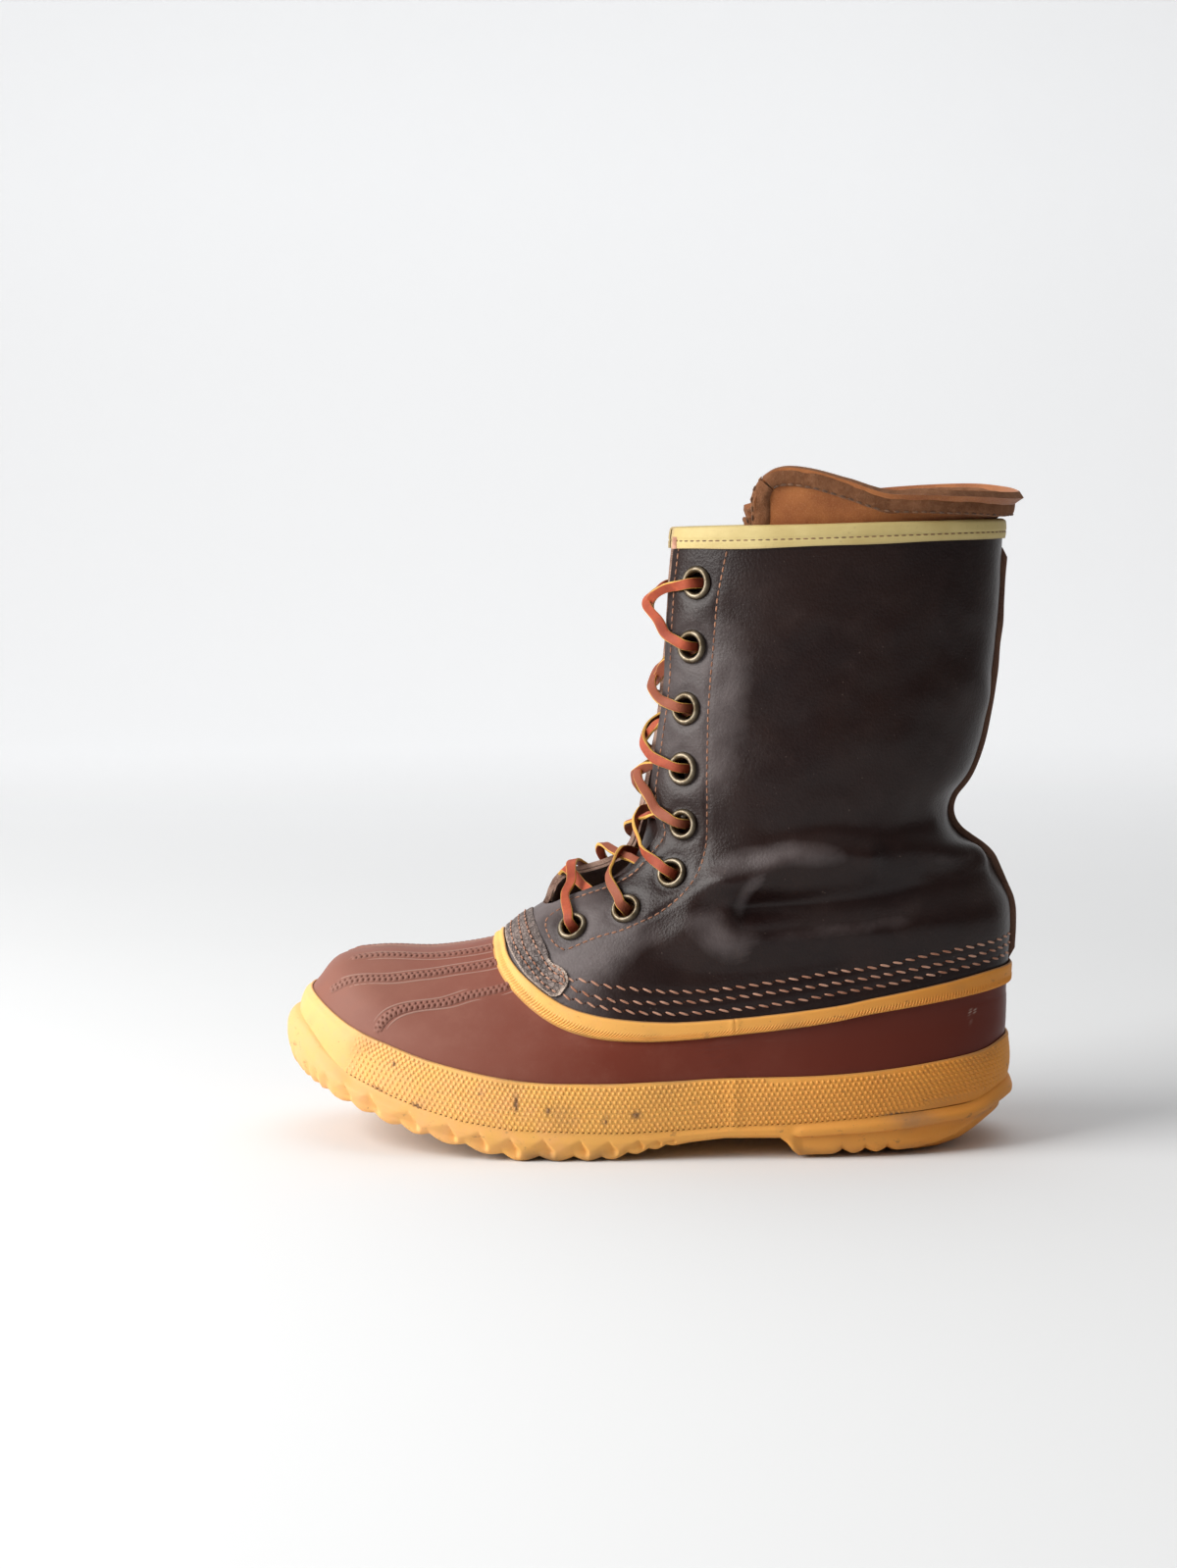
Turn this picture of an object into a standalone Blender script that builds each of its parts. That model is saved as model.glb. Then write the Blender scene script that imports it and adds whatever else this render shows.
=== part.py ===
"""A left pac boot: rubber-bottomed, leather-shafted, laced, with a felt liner.

Metres, +Z up. The toe points along +X, the outer (lateral) side is +Y, and the
origin is on the floor under the middle of the boot.

Every wall follows one surface, skin(phi, v). Level v climbs from the edge of the
sole (0) to the collar (15) through the named rows of RINGS. Angle phi goes round
each ring, from 0 at the back to pi at the front, positive on the outer side.
"""

from math import asin, cos, pi, radians, sin

import bmesh
import bpy
import numpy as np
from mathutils import Matrix, Vector

MM = 0.001
GAP = 0.35 * MM

# Walls
RUBBER_WALL = 2.5 * MM
LEATHER_WALL = 2.2 * MM
FOXING_WALL = 1.9 * MM
BUMPER_WALL = 2.4 * MM
STRIP_WALL = 1.5 * MM
PATCH_WALL = 1.2 * MM
BINDING_WALL = 0.8 * MM
TONGUE_WALL = 1.8 * MM
LINER_WALL = 3.8 * MM
TONGUE_INSET = 3.7 * MM
LINER_INSET = 4.4 * MM
INSOLE_THICKNESS = 4.0 * MM

# Rings of the upper, from the sole up. Each is an egg in plan: a back half and a front
# half that meet at x_wide, where the ring is "half" to each side. Its height goes from
# z_side to z_back and to z_front, and the rises say how late it climbs.
RING_COLUMNS = (
    "x_back", "x_wide", "x_front", "half", "square_back", "square_front",
    "z_back", "z_side", "z_front", "rise_back", "rise_front",
)
RINGS = {
    "sole": (-0.1470, 0.036, 0.1446, 0.0528, 2.70, 2.45, 0.0225, 0.0120, 0.0525, 3.0, 3.0),
    "foxing_mid": (-0.1488, 0.037, 0.1428, 0.0536, 2.70, 2.45, 0.0320, 0.0220, 0.0588, 3.2, 2.9),
    "foxing_top": (-0.1487, 0.038, 0.1388, 0.0532, 2.70, 2.45, 0.0412, 0.0318, 0.0645, 3.5, 2.7),
    "toe_low": (-0.1493, 0.034, 0.1302, 0.0516, 2.65, 2.45, 0.0492, 0.0385, 0.0738, 2.8, 2.4),
    "toe_high": (-0.1495, 0.027, 0.1125, 0.0500, 2.60, 2.50, 0.0552, 0.0430, 0.0774, 2.2, 2.1),
    "vamp": (-0.1495, 0.015, 0.0885, 0.0486, 2.55, 2.70, 0.0598, 0.0456, 0.0776, 1.7, 2.1),
    "strip_low": (-0.1494, 0.000, 0.0647, 0.0472, 2.50, 2.85, 0.0631, 0.0474, 0.0820, 1.3, 2.0),
    "strip_top": (-0.1500, -0.010, 0.0585, 0.0456, 2.45, 2.85, 0.0723, 0.0553, 0.0868, 1.3, 2.0),
    "quarter": (-0.1508, -0.022, 0.0450, 0.0438, 2.40, 2.55, 0.0880, 0.0725, 0.0970, 1.3, 1.9),
    "heel": (-0.1500, -0.036, 0.0275, 0.0428, 2.35, 2.30, 0.1030, 0.0895, 0.1062, 1.4, 1.8),
    "ankle_low": (-0.1452, -0.048, 0.0125, 0.0422, 2.30, 2.15, 0.1170, 0.1050, 0.1165, 1.5, 1.8),
    "ankle": (-0.1290, -0.059, 0.0060, 0.0416, 2.25, 2.00, 0.1280, 0.1210, 0.1295, 1.6, 1.8),
    "ankle_top": (-0.1272, -0.065, 0.0032, 0.0413, 2.20, 2.00, 0.1420, 0.1400, 0.1475, 2.0, 2.0),
    "shaft_low": (-0.1362, -0.069, 0.0010, 0.0410, 2.20, 2.00, 0.1610, 0.1620, 0.1670, 2.0, 2.0),
    "shaft": (-0.1425, -0.073, -0.0028, 0.0405, 2.20, 2.00, 0.2020, 0.2020, 0.2045, 2.0, 2.0),
    "collar": (-0.1455, -0.076, -0.0065, 0.0400, 2.20, 2.00, 0.2535, 0.2535, 0.2535, 2.0, 2.0),
}
LEVEL = {name: level for level, name in enumerate(RINGS)}
RING_TABLE = np.array(list(RINGS.values()))

# The foot is not symmetrical: the waist is pinched, more on the inner side, and the
# toe swings towards the inner side. Both fade out above the foot.
WAIST_X = -0.030
WAIST_REACH = 0.045
WAIST_PINCH_OUTER = 0.09
WAIST_PINCH_INNER = 0.19
TOE_SWING = 0.011
SWING_START_X = 0.000

# Outsole: underside and top edge along its length
SOLE_PROFILE_COLUMNS = ("x", "z_bottom", "z_top")
SOLE_PROFILE = np.array((
    (-0.1534, 0.0180, 0.0235),
    (-0.1515, 0.0150, 0.0228),
    (-0.1470, 0.0095, 0.0215),
    (-0.1400, 0.0032, 0.0202),
    (-0.1270, 0.0000, 0.0188),
    (-0.0605, 0.0000, 0.0138),
    (-0.0535, 0.0062, 0.0134),
    (-0.0300, 0.0064, 0.0126),
    (-0.0080, 0.0050, 0.0112),
    (0.0090, 0.0018, 0.0105),
    (0.0180, 0.0000, 0.0105),
    (0.0560, 0.0000, 0.0118),
    (0.0760, 0.0045, 0.0148),
    (0.0930, 0.0085, 0.0192),
    (0.1050, 0.0120, 0.0232),
    (0.1230, 0.0185, 0.0302),
    (0.1335, 0.0227, 0.0358),
    (0.1430, 0.0278, 0.0430),
    (0.1490, 0.0322, 0.0490),
    (0.1523, 0.0385, 0.0520),
))
SOLE_BACK_X = -0.1534
SOLE_FRONT_X = 0.1523
SOLE_WIDE_X = 0.036
SOLE_HALF = 0.0562
SOLE_SQUARE_BACK = 2.75
SOLE_SQUARE_FRONT = 2.5
SOLE_DRAFT = 1.6 * MM
SOLE_LEAST = 3.0 * MM
HEEL_STATIONS = (-0.1533, -0.1526, -0.1508, -0.1470, -0.1405, -0.1325)
ARCH_STATIONS = (-0.0605, -0.0535, -0.0300, -0.0130)
TOE_STATIONS = (0.1425, 0.1472, 0.1502, 0.1516, 0.1522)

# Tread: wavy cross ribs with a groove after each
FORE_RIB_START_X = 0.0040
FORE_RIB_PITCH = 13.6 * MM
FORE_RIB_COUNT = 10
FORE_RIB_LAND = 8.4 * MM
FORE_GROOVE_DEPTH = 4.2 * MM
HEEL_RIB_START_X = -0.1240
HEEL_RIB_PITCH = 12.0 * MM
HEEL_RIB_COUNT = 5
HEEL_RIB_LAND = 8.6 * MM
HEEL_GROOVE_DEPTH = 3.0 * MM
HEEL_BREAST_ROOM = 6.0 * MM
EDGE_GROOVE_SHARE = 1.35
RIB_WAVE = 2.6 * MM
WAVE_SPANS = ((-0.125, -0.066), (0.010, 0.130))
SOLE_ACROSS = (0.0, 0.07, 0.27, 0.5, 0.73, 0.93, 1.0)
SOLE_WAVES = (0.0, 0.0, 1.0, -1.0, 1.0, 0.0, 0.0)

# Throat: half its width, above its rounded bottom
THROAT_BOTTOM = LEVEL["quarter"] + 0.05
THROAT_ROUND = 0.9
THROAT_HALF = 11.5 * MM

# Eyelets, centre to centre on the outer side, from the top down
EYELET_PLACES = (
    (-0.0184, 0.2315),
    (-0.0165, 0.2056),
    (-0.0142, 0.1804),
    (-0.0131, 0.1560),
    (-0.0131, 0.1335),
    (-0.0083, 0.1141),
    (0.0101, 0.0993),
    (0.0319, 0.0912),
)
EYELET_OUTER = 6.9 * MM
EYELET_CROWN_OUTER = 5.9 * MM
EYELET_CROWN_INNER = 4.4 * MM
EYELET_HOLE = 3.5 * MM
EYELET_HEIGHT = 1.5 * MM
EYELET_LIFT = 0.55 * MM
EYELET_SIDES = 10

# Lace: the strands leave their eyelets at LACE_SHARES of the way to the middle
LACE_WIDTH = 3.4 * MM
LACE_THICKNESS = 1.5 * MM
LACE_BULGE = 6.0 * MM
LACE_UNDER = 0.9 * MM
LACE_CLEARANCE = 3.2 * MM
LACE_SHARES = (0.30, 0.42)
LACE_CORE_INSET = 30.0 * MM
LACE_STEPS = 8
LACE_BAR_DROP = 0.30

SEAM_WIDTH = 4.4 * MM
SEAM_HEIGHT = 3.2 * MM
SEAM_LOWEST = 7.12
SEAM_TOP_ROOM = 0.04
SEAM_LEAST_STEP = 0.1
BINDING_DEPTH = 10.0 * MM
BINDING_INNER_DEPTH = 7.0 * MM

# Columns of a wall, in turns: 0 at the back, 1 at the front, 2 at the back again
RING_STEPS = 20
RING_TURNS = np.linspace(-1.0, 1.0, 2 * RING_STEPS + 1)
FRONT_TURNS = np.linspace(0.0, 2.0, 2 * RING_STEPS + 1)

# Rows of the walls, as levels
STRIP_SEAM = (LEVEL["strip_low"] + LEVEL["strip_top"]) / 2
SHELL_LEVELS = (0.0, 1.0, 2.0, 3.0, 4.0, 5.0, 6.0, STRIP_SEAM)
STRIP_LEVELS = (LEVEL["strip_low"], STRIP_SEAM, LEVEL["strip_top"])
SHAFT_LEVELS = (
    STRIP_SEAM + 0.06, 7.0, 7.5, 8.05, 8.12, 8.3, 8.95, 9.5, 10.0, 10.5, 11.0, 11.5,
    12.0, 13.0, 15.0,
)

# Side band and toe bumper: they meet at BUMPER_JOINT, in turns, at each level
FOXING_LEVELS = (0.0, 1.0, 2.0)
BUMPER_JOINT = (0.738, 0.722, 0.706)
BUMPER_SLIT = 0.0016

# Vamp patch: its rounded tab, and then the even crescent round the front
PATCH_COLUMNS = ("turn", "v_low", "v_top")
PATCH_TAB = ((0.700, 7.28, 7.44), (0.715, 7.12, 7.62), (0.735, 7.09, 7.62))
PATCH_CRESCENT = (0.76, 7.08, 7.50)
PATCH_ROWS = (0.0, 0.5, 1.0)

TONGUE_COLUMNS = ("v", "half_width")
TONGUE_ROWS = (
    (7.75, 0.010), (8.05, 0.0155), (8.6, 0.0195), (9.2, 0.0215), (10.0, 0.0230),
    (11.0, 0.0240), (13.0, 0.0250), (15.0, 0.0250),
)
TONGUE_ACROSS = 6

# Liner: half of its front gap, and its cuff, which stands out of the collar
LINER_STEPS = 12
LINER_LIFT = 1.2 * MM
LINER_LEVELS = (
    0.0, 1.0, 2.0, 3.0, 4.0, 5.0, 6.0, 7.0, 7.35, 7.5, 8.0, 9.0, 9.5, 10.0, 10.5, 11.0,
    11.5, 12.0, 13.0, 14.0, 14.9,
)
LINER_GAP_COLUMNS = ("v", "half_gap")
LINER_GAP = np.array((
    (7.35, 0.0), (7.5, 0.013), (8.0, 0.020), (9.0, 0.0255), (10.0, 0.0275), (11.0, 0.0290),
    (13.0, 0.0315), (15.0, 0.0345),
))
CUFF_COLUMNS = ("turn", "z_top", "flare")
CUFF = np.array((
    (-0.70, 0.2640, 0.0005), (-0.50, 0.2655, 0.0015), (-0.25, 0.2650, 0.0050),
    (0.00, 0.2655, 0.0085), (0.25, 0.2650, 0.0055), (0.42, 0.2690, 0.0020),
    (0.55, 0.2750, 0.0005), (0.64, 0.2790, 0.0000), (0.70, 0.2760, -0.0005),
))
CUFF_SHARES = (0.0, 0.45, 1.0)
CUFF_FOOT_LEVEL = 14.91
CUFF_START = 2.0 * MM

# Numerical steps
SKIN_STEP = 0.004
MERGE_DISTANCE = 0.001 * MM
INSOLE_MERGE_DISTANCE = 0.05 * MM
SHARP_ANGLE = radians(35)
BISECTIONS = 40


# ---------------------------------------------------------------- materials

MATERIALS = {
    "gum_rubber": ((0.72, 0.42, 0.13), 0.62, 0.0),
    "brown_rubber": ((0.16, 0.045, 0.032), 0.45, 0.0),
    "oiled_leather": ((0.035, 0.022, 0.020), 0.42, 0.0),
    "grey_leather": ((0.075, 0.070, 0.066), 0.60, 0.0),
    "raw_leather": ((0.11, 0.06, 0.035), 0.85, 0.0),
    "cream_leather": ((0.66, 0.57, 0.28), 0.55, 0.0),
    "felt": ((0.22, 0.10, 0.05), 0.95, 0.0),
    "brass": ((0.45, 0.36, 0.22), 0.35, 1.0),
    "lace_hide": ((0.55, 0.14, 0.06), 0.60, 0.0),
}


def material(name):
    """The named material, made on first use."""
    made = bpy.data.materials.get(name)
    if made is None:
        colour, roughness, metallic = MATERIALS[name]
        made = bpy.data.materials.new(name)
        made.use_nodes = True
        shader = made.node_tree.nodes["Principled BSDF"]
        shader.inputs["Base Color"].default_value = (*colour, 1.0)
        shader.inputs["Roughness"].default_value = roughness
        shader.inputs["Metallic"].default_value = metallic
        made.diffuse_color = (*colour, 1.0)
    return made


# ---------------------------------------------------------------- the surface

def ring_at(v):
    """The ring's values at level v, on a smooth curve through the rows."""
    v = np.clip(np.asarray(v, float), 0.0, len(RING_TABLE) - 1.0)
    low = np.clip(np.floor(v).astype(int), 0, len(RING_TABLE) - 2)
    part = (v - low)[..., None]
    last = len(RING_TABLE) - 1
    before = RING_TABLE[np.maximum(low - 1, 0)]
    start = RING_TABLE[low]
    end = RING_TABLE[low + 1]
    after = RING_TABLE[np.minimum(low + 2, last)]
    slope_start = (end - before) / 2
    slope_end = (after - start) / 2
    cube = part**3
    square = part**2
    values = (
        (2 * cube - 3 * square + 1) * start
        + (cube - 2 * square + part) * slope_start
        + (3 * square - 2 * cube) * end
        + (cube - square) * slope_end
    )
    return {name: values[..., i] for i, name in enumerate(RING_COLUMNS)}


def foot_shift(x, y, low):
    """y with the pinched waist and the swung toe, at full strength where low is 1."""
    pinch = np.where(y >= 0, WAIST_PINCH_OUTER, WAIST_PINCH_INNER)
    waist = 1 - low * pinch * np.exp(-(((x - WAIST_X) / WAIST_REACH) ** 2))
    along = np.clip((x - SWING_START_X) / (SOLE_FRONT_X - SWING_START_X), 0, 1)
    return y * waist - TOE_SWING * along**1.7


def skin_point(phi, v):
    """Points of the outer surface at angle phi and level v."""
    phi, v = np.broadcast_arrays(np.asarray(phi, float), np.asarray(v, float))
    ring = ring_at(v)
    turn = np.abs(phi)
    front = turn > pi / 2
    square = np.where(front, ring["square_front"], ring["square_back"])
    along = np.abs(np.cos(turn)) ** (2 / square)
    across = np.abs(np.sin(turn)) ** (2 / square)
    x_end = np.where(front, ring["x_front"], ring["x_back"])
    x = ring["x_wide"] + (x_end - ring["x_wide"]) * along
    y = np.sign(phi) * ring["half"] * across
    climb = np.where(front, 1 - across ** ring["rise_front"], along ** ring["rise_back"])
    z_end = np.where(front, ring["z_front"], ring["z_back"])
    z = ring["z_side"] + (z_end - ring["z_side"]) * climb
    low = np.clip(1 - (v - LEVEL["foxing_top"]) / 6, 0, 1)
    return np.stack([x, foot_shift(x, y, low), z], axis=-1)


def skin(phi, v, out=0.0):
    """Points that stand "out" proud of the outer surface, along its normal."""
    step = SKIN_STEP
    top = len(RING_TABLE) - 1.0
    phi, v = np.broadcast_arrays(np.asarray(phi, float), np.asarray(v, float))
    round_way = skin_point(phi + step, v) - skin_point(phi - step, v)
    up_way = skin_point(phi, np.minimum(v + step, top)) - skin_point(phi, np.maximum(v - step, 0))
    normal = np.cross(up_way, round_way)
    normal /= np.linalg.norm(normal, axis=-1, keepdims=True)
    return skin_point(phi, v) + normal * np.asarray(out)[..., None]


def phi_at_half_width(y, v):
    """The angle, near the front, at which the ring at level v is y from the middle."""
    ring = ring_at(v)
    share = np.clip(y / ring["half"], 0, 1) ** (ring["square_front"] / 2)
    return pi - np.arcsin(share)


def phi_at_x(x, v):
    """The angle at which the ring at level v passes x, on the outer side."""
    ring = ring_at(v)
    front = x > ring["x_wide"]
    x_end = ring["x_front"] if front else ring["x_back"]
    square = ring["square_front"] if front else ring["square_back"]
    along = min(max((x - ring["x_wide"]) / (x_end - ring["x_wide"]), 0.0), 1.0)
    swing = asin(along ** (square / 2))
    return pi / 2 + swing if front else pi / 2 - swing


def level_at(x, z):
    """The level at which the side of the boot passes through x and z."""
    low = float(LEVEL["foxing_top"])
    high = float(LEVEL["collar"])
    for _ in range(BISECTIONS):
        middle = (low + high) / 2
        if skin_point(phi_at_x(x, middle), middle)[2] < z:
            low = middle
        else:
            high = middle
    return (low + high) / 2


def sole_top(x):
    """The height of the sole's upper face at x."""
    return np.interp(x, SOLE_PROFILE[:, 0], SOLE_PROFILE[:, 2])


def sole_bottom(x):
    """The height of the sole's underside at x, without its grooves."""
    return np.interp(x, SOLE_PROFILE[:, 0], SOLE_PROFILE[:, 1])


def throat_phi(v):
    """The angle of the throat's edge at level v, pi where the ring is closed."""
    if v <= THROAT_BOTTOM:
        return pi
    rise = min((v - THROAT_BOTTOM) / THROAT_ROUND, 1.0)
    return float(phi_at_half_width(THROAT_HALF * (1 - (1 - rise) ** 2) ** 0.5, v))


# ---------------------------------------------------------------- mesh builders

def new_object(name, material_name, mesh):
    """An object in the scene with this mesh and material."""
    made = bpy.data.objects.new(name, mesh)
    bpy.context.scene.collection.objects.link(made)
    mesh.materials.append(material(material_name))
    mesh.set_sharp_from_angle(angle=SHARP_ANGLE)
    return made


def finish_mesh(name, bm):
    """A mesh from bm, merged and with its faces pointing out."""
    bmesh.ops.remove_doubles(bm, verts=bm.verts, dist=MERGE_DISTANCE)
    bmesh.ops.recalc_face_normals(bm, faces=bm.faces)
    for face in bm.faces:
        face.smooth = True
    mesh = bpy.data.meshes.new(name)
    bm.to_mesh(mesh)
    bm.free()
    return mesh


def add_quad(bm, corners):
    """A face on the corners that differ."""
    kept = [c for i, c in enumerate(corners) if c is not corners[i - 1]]
    if len(set(kept)) > 2:
        bm.faces.new(kept)


def wall(name, material_name, outer, inner, joined):
    """A wall between two grids of points, rows by columns.

    joined says for each row whether its last column is its first, so that the wall is
    a ring there and open elsewhere."""
    bm = bmesh.new()
    sides = []
    for grid in (outer, inner):
        rows = []
        for points, closes in zip(grid, joined):
            row = [bm.verts.new(p) for p in points]
            if closes:
                row[-1] = row[0]
            rows.append(row)
        sides.append(rows)
    row_count = len(outer)
    column_count = len(outer[0])
    for rows in sides:
        for i in range(row_count - 1):
            for j in range(column_count - 1):
                add_quad(bm, [rows[i][j], rows[i][j + 1], rows[i + 1][j + 1], rows[i + 1][j]])
    out_rows, in_rows = sides
    for i in (0, row_count - 1):
        for j in range(column_count - 1):
            add_quad(bm, [out_rows[i][j], out_rows[i][j + 1], in_rows[i][j + 1], in_rows[i][j]])
    for i in range(row_count - 1):
        if joined[i] and joined[i + 1]:
            continue
        for j in (0, column_count - 1):
            add_quad(bm, [out_rows[i][j], out_rows[i + 1][j], in_rows[i + 1][j], in_rows[i][j]])
    loose = [vert for vert in bm.verts if not vert.link_faces]
    bmesh.ops.delete(bm, geom=loose, context="VERTS")
    return new_object(name, material_name, finish_mesh(name, bm))


def sweep(sections):
    """A bmesh through rows of section points, with flat ends."""
    bm = bmesh.new()
    rows = [[bm.verts.new(p) for p in section] for section in sections]
    count = len(rows[0])
    for low, high in zip(rows, rows[1:]):
        for j in range(count):
            k = (j + 1) % count
            bm.faces.new([low[j], low[k], high[k], high[j]])
    bm.faces.new(list(reversed(rows[0])))
    bm.faces.new(rows[-1])
    return bm


def ring_wall(name, material_name, levels, out, wall_thickness, stand_on_sole=False):
    """A closed wall on the surface between levels, its outer face "out" proud."""
    phi = RING_TURNS * pi
    grids = []
    for proud in (out, out - wall_thickness):
        grid = np.array([skin(phi, v, proud) for v in levels])
        if stand_on_sole:
            grid[0, :, 2] = sole_top(grid[0, :, 0]) + GAP
        grids.append(grid)
    return wall(name, material_name, grids[0], grids[1], [True] * len(levels))


# ---------------------------------------------------------------- the sole

def sole_half_width(x, outer):
    """How far the sole's edge is from the middle at x, on the outer or inner side."""
    x_end = SOLE_FRONT_X if x > SOLE_WIDE_X else SOLE_BACK_X
    square = SOLE_SQUARE_FRONT if x > SOLE_WIDE_X else SOLE_SQUARE_BACK
    along = min(abs((x - SOLE_WIDE_X) / (x_end - SOLE_WIDE_X)), 1.0)
    half = SOLE_HALF * (1 - along**square) ** (1 / square)
    return float(foot_shift(x, half if outer else -half, 1.0))


def sole_stations():
    """Cross lines of the tread, each x with the depth of its groove."""
    stations = []
    for start, pitch, count, land, depth in (
        (HEEL_RIB_START_X, HEEL_RIB_PITCH, HEEL_RIB_COUNT, HEEL_RIB_LAND, HEEL_GROOVE_DEPTH),
        (FORE_RIB_START_X, FORE_RIB_PITCH, FORE_RIB_COUNT, FORE_RIB_LAND, FORE_GROOVE_DEPTH),
    ):
        for rib in range(count):
            x = start + rib * pitch
            stations.append((x, 0.0))
            stations.append((x + land, 0.0))
            stations.append((x + (land + pitch) / 2, depth))
    last_groove_x = HEEL_RIB_START_X + HEEL_RIB_PITCH * HEEL_RIB_COUNT - HEEL_BREAST_ROOM
    stations = [s for s in stations if s[0] < last_groove_x or s[0] > 0]
    stations += [(x, 0.0) for x in (*HEEL_STATIONS, *ARCH_STATIONS, *TOE_STATIONS)]
    return sorted(stations)


def outsole():
    """The tread unit: outline, arch, toe spring, heel block and ribs in one."""
    bm = bmesh.new()
    under_rows = []
    top_rows = []
    for x, groove in sole_stations():
        outer = sole_half_width(x, True)
        inner = sole_half_width(x, False)
        draft = min(SOLE_DRAFT, (outer - inner) / len(SOLE_ACROSS))
        room = sole_top(x) - sole_bottom(x) - SOLE_LEAST
        waved = RIB_WAVE if any(start < x < end for start, end in WAVE_SPANS) else 0.0
        under = []
        for share, wave in zip(SOLE_ACROSS, SOLE_WAVES):
            y = inner + draft + (outer - inner - 2 * draft) * share
            at_edge = share in (SOLE_ACROSS[0], SOLE_ACROSS[-1])
            depth = min(groove * (EDGE_GROOVE_SHARE if at_edge else 1.0), room)
            x_waved = x + wave * waved
            under.append(bm.verts.new((x_waved, y, sole_bottom(x_waved) + depth)))
        under_rows.append(under)
        top_rows.append([bm.verts.new((x, y, sole_top(x))) for y in (inner, outer)])
    last = len(SOLE_ACROSS) - 1
    for i in range(len(under_rows) - 1):
        for j in range(last):
            add_quad(bm, [under_rows[i][j], under_rows[i][j + 1],
                          under_rows[i + 1][j + 1], under_rows[i + 1][j]])
        add_quad(bm, [top_rows[i][0], top_rows[i][1], top_rows[i + 1][1], top_rows[i + 1][0]])
        for j, side in ((0, 0), (last, 1)):
            add_quad(bm, [under_rows[i][j], under_rows[i + 1][j],
                          top_rows[i + 1][side], top_rows[i][side]])
    for i in (0, -1):
        bm.faces.new([*under_rows[i], top_rows[i][1], top_rows[i][0]])
    return new_object("outsole", "gum_rubber", finish_mesh("outsole", bm))


def insole():
    """A felt sole that lies on the outsole inside the rubber shell."""
    inset = RUBBER_WALL + 2 * GAP
    phi = np.linspace(0, pi, RING_STEPS + 1)
    bm = bmesh.new()
    layers = []
    for height in (GAP, GAP + INSOLE_THICKNESS):
        rows = []
        for side_phi in phi:
            outer = skin(side_phi, 0.0, -inset)
            inner = skin(-side_phi, 0.0, -inset)
            x = (outer[0] + inner[0]) / 2
            z = float(sole_top(x)) + height
            rows.append([bm.verts.new((x, y, z)) for y in (inner[1], outer[1])])
        layers.append(rows)
    low, high = layers
    for rows in layers:
        for a, b in zip(rows, rows[1:]):
            bm.faces.new([a[0], a[1], b[1], b[0]])
    for i in range(RING_STEPS):
        for side in (0, 1):
            bm.faces.new([low[i][side], low[i + 1][side], high[i + 1][side], high[i][side]])
    bmesh.ops.remove_doubles(bm, verts=bm.verts, dist=INSOLE_MERGE_DISTANCE)
    return new_object("insole", "felt", finish_mesh("insole", bm))


# ---------------------------------------------------------------- the upper

def rubber_shell():
    """The moulded bottom of the boot, from the sole to the join with the leather."""
    return ring_wall("rubber_shell", "brown_rubber", SHELL_LEVELS, 0.0, RUBBER_WALL, True)


def wrapped(turns):
    """Angles for turns counted from the back, 1 at the front and 2 at the back again."""
    turns = np.asarray(turns, float)
    return np.where(turns > 1, turns - 2, turns) * pi


def foxing_and_bumper():
    """The pebbled side band and the smooth toe strip, which meet at slanted ends."""
    bumper_sides = [(joint, 2 - joint) for joint in BUMPER_JOINT]
    grids = even_band(bumper_sides, GAP + BUMPER_WALL)
    wall("toe_bumper", "gum_rubber", *grids, [False] * 3)
    foxing_ends = [joint - BUMPER_SLIT for joint in BUMPER_JOINT]
    foxing_sides = [(-end, end) for end in foxing_ends]
    grids = even_band(foxing_sides, GAP + FOXING_WALL)
    wall("foxing", "gum_rubber", *grids, [False] * 3)


def even_band(sides, out):
    """Outer and inner grids of a strip whose ends are given, in turns, at each level."""
    last_start = max(start for start, _ in sides)
    first_end = min(end for _, end in sides)
    inside = RING_TURNS if last_start < 0 else FRONT_TURNS
    kept = [t for t in inside if last_start < t < first_end]
    grids = []
    for proud in (out, GAP):
        rows = []
        for v, (start, end) in zip(FOXING_LEVELS, sides):
            row = skin(wrapped([start, *kept, end]), v, proud)
            if v == 0.0:
                row[:, 2] = sole_top(row[:, 0]) + GAP
            rows.append(row)
        grids.append(rows)
    return grids


def top_strip():
    """The strip that covers the join of rubber and leather."""
    return ring_wall("top_strip", "gum_rubber", STRIP_LEVELS, GAP + STRIP_WALL, STRIP_WALL)


def open_columns(v):
    """Angles of the columns at level v, which spread back from the throat's edges."""
    return RING_TURNS * throat_phi(v)


def leather_shaft():
    """The leather upper, closed round the instep and open in front from the throat up."""
    grids = []
    for proud in (0.0, -LEATHER_WALL):
        grids.append([skin(open_columns(v), v, proud) for v in SHAFT_LEVELS])
    joined = [v <= THROAT_BOTTOM for v in SHAFT_LEVELS]
    return wall("leather_shaft", "oiled_leather", *grids, joined)


def collar_level(drop):
    """The level that is "drop" below the collar's top edge at the side."""
    z = RINGS["collar"][RING_COLUMNS.index("z_side")] - drop
    return level_at(RINGS["collar"][RING_COLUMNS.index("x_wide")], z)


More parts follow.
